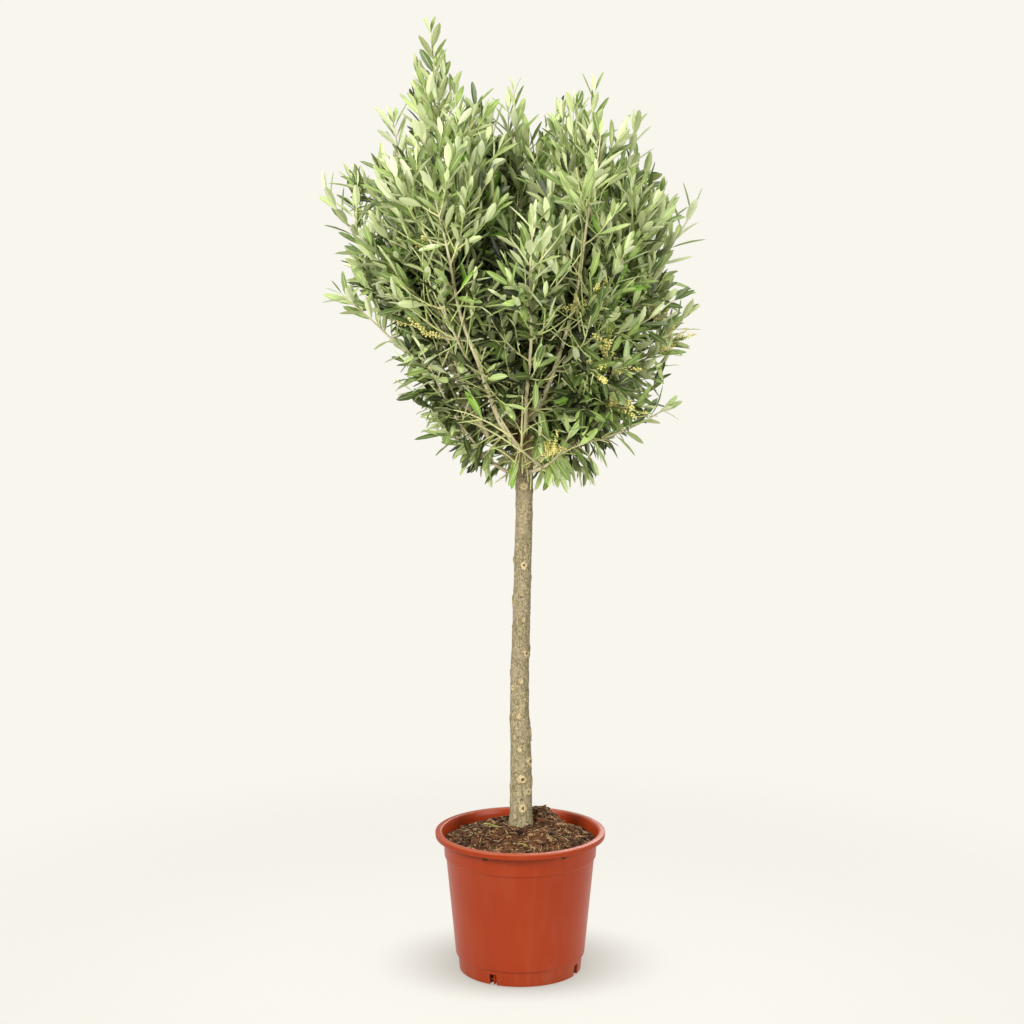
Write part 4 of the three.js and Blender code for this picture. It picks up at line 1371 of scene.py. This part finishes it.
# Scars of pruned shoots on the stem: height, degrees to the right of the front, radius, depth.
SCARS = (
    (0.301, -29, 0.006, 0.6), (0.317, 10, 0.0085, 1.0), (0.348, 44, 0.0065, 0.9), (0.3545, -80, 0.005, 0.7),
    (0.3645, 84, 0.008, 1.0), (0.373, 9, 0.008, 1.0), (0.374, -8, 0.006, 0.8), (0.391, 22, 0.0055, 0.5),
    (0.406, 58, 0.008, 1.1), (0.417, -3, 0.004, 0.5), (0.4305, -6, 0.006, 0.7), (0.454, -35, 0.0055, 0.6),
    (0.461, 78, 0.008, 1.2), (0.4945, -6, 0.006, 0.7), (0.522, -21, 0.005, 0.5), (0.523, 51, 0.0035, 0.6),
    (0.547, -45, 0.006, 0.8), (0.561, 6, 0.006, 0.7), (0.598, -17, 0.0045, 0.4), (0.617, 14, 0.0045, 0.5),
    (0.613, 40, 0.0065, 1.0), (0.644, -8, 0.004, 0.3), (0.654, 19, 0.0045, 0.5), (0.663, -42, 0.004, 0.4),
    (0.677, 14, 0.006, 0.6), (0.688, 42, 0.0045, 0.5), (0.708, -72, 0.0055, 1.0), (0.745, 31, 0.0045, 0.4),
    (0.764, -56, 0.0045, 0.6), (0.78, 9, 0.0068, 0.9), (0.819, -39, 0.0045, 0.7), (0.835, 6, 0.005, 0.4),
    (0.858, -43, 0.0035, 0.4), (0.879, 39, 0.004, 0.5), (0.928, -3, 0.0085, 0.8), (0.969, 10, 0.0095, 1.0),
)  # fmt: skip
SCAR_HEIGHT = 0.0036
SCARS_TOP = 0.95
WOOD_TRIANGLES = 185000


def stem_piece():
    """The stem, raised ring by ring from a disc below the earth."""
    heights = np.linspace(STEM_FOOT - 0.016, STEM_TIP - 0.004, 88)
    centre = stem_centre(heights[0])
    radius = through(STEM_RADII, STEM_FOOT) * 1.05
    disc = {"vertices": 40, "radius": radius, "fill_type": "NGON", "location": centre}
    stem = added(bpy.ops.mesh.primitive_circle_add, "stem", **disc)
    bpy.ops.object.mode_set(mode="EDIT")
    for z in heights[1:]:
        above, wider = stem_centre(z), through(STEM_RADII, z)
        bpy.ops.mesh.extrude_region_move(TRANSFORM_OT_translate={"value": above - centre})
        share = wider / radius
        bpy.ops.transform.resize(value=(share, share, 1), center_override=above)
        centre, radius = above, wider
    bpy.ops.mesh.select_all(action="SELECT")
    bpy.ops.mesh.normals_make_consistent(inside=False)
    return settled(stem)


def limb_piece(limb):
    """A limb's bare wood as a bevelled curve made a mesh, swollen where it leaves its carrier."""
    shares = np.linspace(0, limb.wood + 0.01, 26)
    curve = bpy.data.curves.new(limb.name, "CURVE")
    curve.dimensions = "3D"
    curve.bevel_depth = 1.0
    curve.bevel_resolution = 3
    curve.use_fill_caps = True
    spline = curve.splines.new("POLY")
    spline.points.add(len(shares) - 1)
    for point, share in zip(spline.points, shares):
        gone = share * limb.length
        point.co = (*limb.at(share), 1)
        point.radius = limb.radius(share) * (1 + 0.5 * math.exp(-((gone / 0.028) ** 2)))
    piece = bpy.data.objects.new(limb.name, curve)
    bpy.context.scene.collection.objects.link(piece)
    alone(piece)
    bpy.ops.object.convert(target="MESH")
    return bpy.context.object


@functools.lru_cache
def all_scars():
    """The scars in view, and more of them up the stem and round its back, by the knots' rule."""
    scars = [(z, math.radians(turn - 90), radius, depth) for z, turn, radius, depth in SCARS]
    seeded = Seeded(7)
    for i in range(64):
        z = 0.31 + i * 0.0105 + seeded.between(-0.006, 0.006)
        angle = math.radians(i * 137 + seeded.between(-25, 25))
        facing = math.cos(angle + math.pi / 2)
        size = seeded.between(0.0035, 0.0075)
        if facing < 0.15 and z < SCARS_TOP:
            scars.append((z, angle, size, seeded.between(0.4, 1.1)))
    return scars


def bark_relief(wood, relief):
    """Ridges, pits and pruning scars, moved into the mesh and kept as values for the finish."""
    places, normals = places_of(wood), normals_of(wood)
    thick = smooth01((1.02 - places[:, 2]) / 0.06)
    along = noise_at(places, (170, 170, 42), 3, 3.0)
    fine = noise_at(places, (420, 420, 230), 2, 8.0)
    broad = noise_at(places, (34, 34, 16), 2, 1.0)
    lift = relief * (0.9 * along + 0.7 * fine) * (0.4 + 0.6 * thick) + 0.0007 * broad * thick
    scar, core, rise = (np.zeros(len(places)) for _ in range(3))
    for z, angle, size, depth in all_scars():
        centre = stem_centre(z)
        radius = through(STEM_RADII, z)
        spot = np.array(centre) + radius * np.array((math.cos(angle), math.sin(angle), 0))
        near = np.flatnonzero(np.abs(places[:, 2] - z) < 3 * size)
        away = np.linalg.norm((places[near] - spot) * (1, 1, 0.85), axis=1) / size
        away *= 1 + 0.5 * fine[near] + 0.35 * along[near]
        ring = np.exp(-(away**2))
        pit = np.exp(-((away * 2.5) ** 2))
        rise[near] += SCAR_HEIGHT * depth * (ring - 0.9 * pit)
        scar[near] = np.maximum(scar[near], smooth01((ring - 0.3) / 0.45) * min(1.0, depth) ** 1.4)
        core[near] = np.maximum(core[near], pit * clamp01((depth - 0.55) / 0.45))
    set_places(wood, places + normals * (lift + rise)[:, None])
    kept = {"scar": scar, "core": core, "ridge": fine * 0.5 + 0.5, "patch": along * 0.5 + 0.5}
    for name, values in kept.items():
        layer = wood.data.attributes.new(name, "FLOAT", "POINT")
        layer.data.foreach_set("value", values.astype(np.float32))


def bark(settings):
    """Grey-green bark with cracks, ridges and scars, browner at the forks and pale out on the limbs, with
    painted shade in its hollows, its cracks and round its scars.
    """
    finish = Finish("Olive bark")
    ridge, patch = finish.attribute("ridge"), finish.attribute("patch")
    scar, core = finish.attribute("scar"), finish.attribute("core")
    fine = finish.noise(620, 4, 0.7, finish.stretched((1, 1, 0.5)))
    marks = finish.band(finish.cells(150, at=finish.stretched((1, 1, 1.5))), 0.12, 0.3, 1, 0)
    cracks = finish.band(finish.noise(260, 4, 0.75, finish.stretched((1, 1, 0.8))), 0.57, 0.68)
    young = finish.band(finish.axis("Z"), 0.93, 1.03)
    streak = finish.noise(210, 4, 0.7, finish.stretched((1, 1, 0.16)))
    mauve = finish.band(finish.noise(26, 2), 0.46, 0.62)
    # painted shade: the bark's low places take the hollows' colour, following the same noises that sink the
    # bump
    raised = finish.band(ridge * 0.35 + fine * 0.25 + streak * 0.4, 0.4, 0.58)
    body = finish.mixed(raised, opaque(settings.hollow), opaque(settings.bark))
    body = finish.mixed(finish.band(patch, 0.42, 0.66) * 0.4, body, opaque(colour("7d7a56")))
    body = finish.mixed(mauve * 0.45, body, opaque(colour("a08e76")))
    body = finish.mixed(finish.band(marks * fine, 0.34, 0.52) * 0.85, body, opaque(settings.ridge))
    # painted shade in the cracks, which the bump sinks
    body = finish.mixed(cracks * 0.75, body, opaque(settings.hollow, 0.42))
    grain = finish.band(fine, 0.35, 0.65)
    fork = finish.mixed(grain, opaque(colour("5e442e")), opaque(colour("8a6a48")))
    limb = finish.mixed(grain, opaque(settings.limb, 0.8), opaque(settings.limb, 1.0))
    outer = finish.band(finish.length(finish.stretched((1, 1, 0))), 0.014, 0.034)
    wood = finish.mixed(young, body, finish.mixed(outer, fork, limb))
    rim = finish.mixed(finish.band(fine, 0.4, 0.6), opaque(settings.scar, 0.8), opaque(settings.scar, 1.12))
    # painted shade: a dark ring round the foot of each raised scar
    edge = finish.band(scar, 0.01, 0.12) * finish.band(scar, 0.2, 0.5, 1, 0)
    wood = finish.mixed(scar * 0.85, wood, rim)
    wood = finish.mixed(edge * 0.6, wood, opaque(settings.hollow, 0.6))
    wood = finish.mixed(finish.band(core, 0.25, 0.7) * 0.9, wood, opaque(colour("4a3018")))
    return finish.wear(
        base_color=wood,
        roughness=0.78 + fine * 0.16,
        specular_ior_level=0.2,
        normal=finish.bump(fine * 0.6 + streak * 0.5 - cracks * 0.5, 0.0014, 1.0),
    )


class OLIVE_OT_wood(bpy.types.Operator):
    """Model the stem and the bare limbs as one mesh with the bark's relief"""

    bl_idname = "olive.wood"
    bl_label = "Stem and limbs"
    bl_options = {"REGISTER", "UNDO"}

    def execute(self, context):
        settings = context.scene.olive_wood
        wood = joined("stem_and_limbs", [stem_piece(), *(limb_piece(limb) for limb in limbs().values())])
        modified(wood, "REMESH", mode="VOXEL", voxel_size=settings.cell)
        modified(wood, "SMOOTH", factor=0.5, iterations=4)
        bark_relief(wood, settings.relief)
        modified(wood, "DECIMATE", ratio=min(1.0, WOOD_TRIANGLES / (2 * len(wood.data.polygons))))
        shaded(finished(wood, bark(settings)), 60)
        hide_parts("trunk", *(f"bough_{row[0]}" for row in LIMBS))
        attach(wood, "root")
        return {"FINISHED"}


# ---------------------------------------------------------------- twigs, leaves and buds


class OLIVE_OT_twigs(bpy.types.Operator):
    """Grow the leading shoots, side shoots and twigs on from the limbs"""

    bl_idname = "olive.twigs"
    bl_label = "Twigs"
    bl_options = {"REGISTER", "UNDO"}

    def execute(self, context):
        shoots = grown_crown(context).shoots
        parts = []
        for order, sides in ((0, 7), (1, 5), (2, 4)):
            own = [s for s in shoots if s.order == order]
            parts.append((order, tube_arrays([s.line for s in own], [(s.foot, s.tip) for s in own], sides)))
        places, faces, slots, start = [], [], [], 0
        for order, (points, quads, ends, of_quad, of_end) in parts:
            places.append(points)
            faces += [quads + start, ends + start]
            slots += [np.full(len(quads), order), np.full(len(ends), order)]
            start += len(points)
        twigs = mesh_piece("twigs", np.concatenate(places), faces, slots)
        tints = (("Leading shoot", "cdc19a"), ("Side shoot", "c9c78e"), ("Green twig", "c4ce80"))
        finished(twigs, *(plain_finish(name, colour(code), 0.62) for name, code in tints))
        shaded(twigs, 60)
        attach(twigs, "root")
        return {"FINISHED"}


def leaf_arrays(rows, shape):
    """All the blades of some leaves: places, faces of three and four corners, and their slots."""
    template, triangles, quads = shape.template()
    rows = np.array(rows, float)
    root, along, face = rows[:, 0:3], rows[:, 3:6], rows[:, 6:9]
    length, width, bend, sickle = (rows[:, k, None] for k in range(9, 13))
    tone = rows[:, 13].astype(int)
    across = np.cross(face, along)
    forward, sideways, fold, under = template.T
    x = length * forward
    y = width / 2 * sideways + sickle * length * forward**2
    z = width / 2 * fold * shape.FOLD - bend * length * forward**2 + under * shape.THICKNESS
    places = root[:, None]
    for distance, axis in ((x, along), (y, across), (z, face)):
        places = places + distance[..., None] * axis[:, None]
    offsets = (np.arange(len(rows)) * len(template))[:, None, None]
    faces = [(f[None, :, :-1] + offsets).reshape(-1, f.shape[1] - 1) for f in (triangles, quads)]
    slots = [(3 * tone[:, None] + f[:, -1]).ravel() for f in (triangles, quads)]
    return places.reshape(-1, 3), faces, slots


LEAF_PARTS = (("upper", 0.0, 0.36, 0.5), ("midrib", 0.55, 0.55, 0.3), ("underside", 1.0, 0.7, 0.2))


def leaf_finishes(settings):
    """For each tone, the glossy green above, the lighter midrib and the downy grey below."""
    made = []
    for tone in (*GROWN, "fresh"):
        upper, under = (getattr(settings, f"{side}_{tone}") for side in ("upper", "under"))
        for part, share, rough, gloss in LEAF_PARTS:
            rgb = [(1 - share) * a + share * b for a, b in zip(upper, under)]
            made.append(plain_finish(f"Leaf {tone} {part}", rgb, rough, gloss))
    return made


class OLIVE_OT_leaves(bpy.types.Operator):
    """Set the leaves on the shoots, in opposite pairs, one piece for each side of the crown"""

    bl_idname = "olive.leaves"
    bl_label = "Leaves"
    bl_options = {"REGISTER", "UNDO"}

    def execute(self, context):
        settings = context.scene.olive_foliage
        grown = grown_crown(context)
        finishes = leaf_finishes(settings)
        for side in SIDES:
            rows = [leaf[1:] for leaf in grown.leaves if leaf[0] == side]
            if not rows:
                raise RuntimeError(f"no leaves grew on the {side} limbs")
            places, faces, slots = leaf_arrays(rows, grown.leaf)
            leaves = mesh_piece(f"leaves_{side}", places, faces, slots)
            finished(leaves, *finishes)
            shaded(leaves, 22)
            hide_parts(*(f"foliage_{row[0]}" for row in LIMBS if row[0].split("_")[0] == side))
            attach(leaves, "root")
        return {"FINISHED"}


# Flower clusters: the chance that a side shoot of a limb has them, and their counts and sizes.
BUDDING = {
    "right_low": 0.15, "right_middle": 0.2, "front_low": 0.1, "left_middle": 0.15, "back_left": 0.15,
    "back_low": 0.12, "back_right": 0.12, "left_low": 0.1,
}  # fmt: skip
CLUSTERS = 5
BUD_PAIRS = 7
STALK_LENGTH = (0.024, 0.04)
STALK_RISE = 0.005
BUD_SIZE = (0.0014, 0.0023)
BUD_SLACK = 0.012


def budding_shoots(grown, seeded):
    """The shoots nearest the places where buds show, and a few others by their limb's chance."""
    side_shoots = [shoot for shoot in grown.shoots if shoot.order > 0 and shoot.length > 0.05]
    chosen = []
    for x, z in BUD_PLACES:
        place = np.array((x, BUD_DEPTH - 0.02, z))
        chosen.append(min(side_shoots, key=lambda shoot: np.linalg.norm(shoot.line[-1] - place)))
    for shoot in side_shoots:
        if shoot.order == 1 and seeded.next() < BUDDING.get(shoot.limb.name, 0):
            chosen.append(shoot)
    return chosen


def bud_sprays(grown):
    """Stalks and buds of the small flower clusters in the leaves' axils."""
    seeded = Seeded(31)
    stalks, buds = [], []
    for shoot in budding_shoots(grown, seeded):
        for i in range(CLUSTERS):
            distance = shoot.length * (0.4 + 0.14 * i)
            root, tangent = shoot.at(distance), shoot.along(distance)
            side = aside(tangent, seeded.between(0, TURN))
            heading = leaning(tangent, side, seeded.between(20, 50))
            length = seeded.between(*STALK_LENGTH)
            if not in_frame(root + heading * length, BUD_SLACK):
                continue
            steps = [root + heading * length * t + UP * STALK_RISE * t * t for t in (0, 0.35, 0.7, 1.0)]
            stalks.append(np.array(steps))
            for k in range(BUD_PAIRS):
                share = 0.28 + 0.72 * k / (BUD_PAIRS - 1)
                stem = root + heading * length * share + UP * STALK_RISE * share * share
                for half in (0, TURN / 2):
                    out = aside(heading, k * TURN / 4 + half)
                    reach = seeded.between(0.003, 0.0065) * (1.25 - 0.75 * share)
                    centre = stem + (out * 0.8 + heading * 0.5) * reach
                    buds.append((*centre, seeded.between(*BUD_SIZE)))
    return stalks, buds


class OLIVE_OT_buds(bpy.types.Operator):
    """Set the clusters of flower buds on their shoots"""

    bl_idname = "olive.buds"
    bl_label = "Flower buds"
    bl_options = {"REGISTER", "UNDO"}

    def execute(self, context):
        stalks, buds = bud_sprays(grown_crown(context))
        buds = np.array(buds)
        shape, faces = grain_arrays(len(buds))
        places = (shape[None] * buds[:, None, 3:] + buds[:, None, :3]).reshape(-1, 3)
        tubes, quads, ends, _, _ = tube_arrays(stalks, [(0.0007, 0.0004)] * len(stalks), 4)
        piece = mesh_piece(
            "flower_buds", np.concatenate([places, tubes]), [faces, quads + len(places), ends + len(places)]
        )
        finished(piece, plain_finish("Flower bud", context.scene.olive_foliage.buds, 0.55))
        shaded(piece, 80)
        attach(piece, "root")
        return {"FINISHED"}


# ---------------------------------------------------------------- stage

CAMERA_PLACE = (-0.0156, -4.175, 1.51)
CAMERA_DIP = 8.6  # degrees below the horizon
STAGE_AIM = Vector((0, 0, 0.95))
FLOOR_DIFFUSE = 0.8
FLOOR_GLOW = 0.39
FLOOR_GLOW_TINT = (1, 0.925, 0.883)  # shadows on the floor are a little warmer than its lit paper
FLOOR_PAPER_TINT = (1, 1.048, 1.075)
FLOOR_LAMP_DEPTH = 1.2
# What a lamp lights, by the first words of the pieces' names.
LIT = {
    "crown": ("leaves", "twigs", "flower"),
    "wood": ("stem",),
    "base": ("nursery", "root", "earth"),
    "floor": ("floor",),
}
LIGHTS = (  # name, place, size, what it lights
    ("key", (-2.5, -2.4, 2.7), 1.5, ("crown", "wood", "base")),
    ("fill", (2.7, -2.2, 1.9), 1.7, ("crown", "wood", "base")),
    ("top", (0.2, -0.3, 4.2), 2.4, ("wood", "base")),
    ("high", (0.2, -0.3, 4.2), 2.4, ("crown",)),
    ("low", (-1.2, -3.6, 0.9), 1.0, ("crown", "wood")),
    ("back", (1.0, 3.6, 2.2), 1.8, ("crown", "wood", "base")),
    ("floor", (0.0, -0.32, 3.0), 2.5, ("floor",)),
)


def floor_paper(settings):
    """Pale paper, part of its brightness its own so shadows stay light; its edge fades away."""
    finish = Finish("Pale paper")
    seen = finish.band(finish.length(finish.place), 0.5, 1.6, 1, 0)
    grain = finish.noise(260, 2)
    finish.wear(
        base_color=opaque([c * t for c, t in zip(settings.backdrop, FLOOR_PAPER_TINT)], FLOOR_DIFFUSE),
        emission_color=opaque([c * t for c, t in zip(settings.backdrop, FLOOR_GLOW_TINT)]),
        emission_strength=FLOOR_GLOW,
        roughness=0.86 + grain * 0.1,
        specular_ior_level=0.0,
    )
    clear = finish.node("ShaderNodeBsdfTransparent")
    inputs = {0: seen, 1: clear, 2: Value(finish, finish.surface.outputs[0])}
    mixed = finish.node("ShaderNodeMixShader", None, inputs)
    finish.feed(finish.tree.nodes["Material Output"].inputs["Surface"], mixed)
    return finish.material


def lit_world(settings):
    """An even backdrop, dimmer as a source of light than it looks."""
    world = bpy.data.worlds.new("Studio")
    bpy.context.scene.world = world
    world.use_nodes = True
    tree = world.node_tree
    shown = tree.nodes["Background"]
    shown.inputs["Color"].default_value = opaque(settings.backdrop)
    shown.inputs["Strength"].default_value = 1.0
    lighting = tree.nodes.new("ShaderNodeBackground")
    lighting.inputs["Color"].default_value = (1, 1, 1, 1)
    lighting.inputs["Strength"].default_value = settings.ambient
    path, mix = tree.nodes.new("ShaderNodeLightPath"), tree.nodes.new("ShaderNodeMixShader")
    tree.links.new(path.outputs["Is Camera Ray"], mix.inputs[0])
    tree.links.new(lighting.outputs[0], mix.inputs[1])
    tree.links.new(shown.outputs[0], mix.inputs[2])
    tree.links.new(mix.outputs[0], tree.nodes["World Output"].inputs["Surface"])


def gathered(name, pieces):
    """A collection of pieces, for a lamp to light or be shaded by."""
    collection = bpy.data.collections.new(name)
    for piece in pieces:
        collection.objects.link(piece)
    return collection


class OLIVE_OT_stage(bpy.types.Operator):
    """Set up the floor, the soft lights, the backdrop and the camera"""

    bl_idname = "olive.stage"
    bl_label = "Stage"
    bl_options = {"REGISTER", "UNDO"}

    def execute(self, context):
        settings = context.scene.olive_stage
        floor = added(bpy.ops.mesh.primitive_circle_add, "floor", vertices=96, radius=2.6, fill_type="NGON")
        finished(floor, floor_paper(settings))
        lit_world(settings)
        pieces = [piece for piece in context.scene.collection.all_objects if piece.type == "MESH"]
        standing = [piece for piece in pieces if piece.name in ("nursery_pot", "root_ball")]
        shades = gathered("Shades the floor", standing)
        for name, place, size, on in LIGHTS:
            alone()
            turn = (STAGE_AIM - Vector(place)).to_track_quat("-Z", "Y").to_euler()
            bpy.ops.object.light_add(type="AREA", location=place, rotation=turn)
            light = context.object
            light.name = name
            light.data.shape = "DISK"
            light.data.size = size
            light.data.energy = getattr(settings, name)
            starts = tuple(start for group in on for start in LIT[group])
            lit = gathered(f"Lit by {name}", [piece for piece in pieces if piece.name.startswith(starts)])
            light.light_linking.receiver_collection = lit
            if name == "floor":
                light.data.shape = "ELLIPSE"
                light.data.size_y = FLOOR_LAMP_DEPTH
                light.light_linking.blocker_collection = shades
        alone()
        bpy.ops.object.camera_add(location=CAMERA_PLACE, rotation=(math.radians(90 - CAMERA_DIP), 0, 0))
        camera = context.object
        camera.data.lens = settings.lens
        camera.data.sensor_width = 36
        context.scene.camera = camera
        context.scene.view_settings.view_transform = "Standard"
        return {"FINISHED"}


# ---------------------------------------------------------------- add-on

OPERATORS = (
    OLIVE_OT_pot, OLIVE_OT_soil, OLIVE_OT_wood, OLIVE_OT_twigs, OLIVE_OT_leaves, OLIVE_OT_buds,
    OLIVE_OT_stage,
)  # fmt: skip
SETTINGS = {
    "olive_pot": OlivePotSettings,
    "olive_soil": OliveSoilSettings,
    "olive_wood": OliveWoodSettings,
    "olive_foliage": OliveFoliageSettings,
    "olive_stage": OliveStageSettings,
}


class OLIVE_PT_panel(bpy.types.Panel):
    """Lists the pieces of the tree, each with its settings"""

    bl_label = "Potted Olive Tree"
    bl_idname = "OLIVE_PT_panel"
    bl_space_type = "VIEW_3D"
    bl_region_type = "UI"
    bl_category = "Olive Tree"

    def draw(self, context):
        for operator in OPERATORS:
            self.layout.operator(operator.bl_idname)
        for name, kind in SETTINGS.items():
            box = self.layout.box()
            box.label(text=kind.__doc__)
            for setting in kind.__annotations__:
                box.prop(getattr(context.scene, name), setting)


def register():
    for kind in (*SETTINGS.values(), *OPERATORS, OLIVE_PT_panel):
        bpy.utils.register_class(kind)
    for name, kind in SETTINGS.items():
        setattr(bpy.types.Scene, name, PointerProperty(type=kind))


def unregister():
    for name in SETTINGS:
        delattr(bpy.types.Scene, name)
    for kind in (OLIVE_PT_panel, *reversed(OPERATORS), *SETTINGS.values()):
        bpy.utils.unregister_class(kind)


def main():
    register()
    bpy.ops.olive.pot()
    bpy.ops.olive.soil()
    bpy.ops.olive.wood()
    bpy.ops.olive.twigs()
    bpy.ops.olive.leaves()
    bpy.ops.olive.buds()
    bpy.ops.olive.stage()


if __name__ == "__main__":
    main()
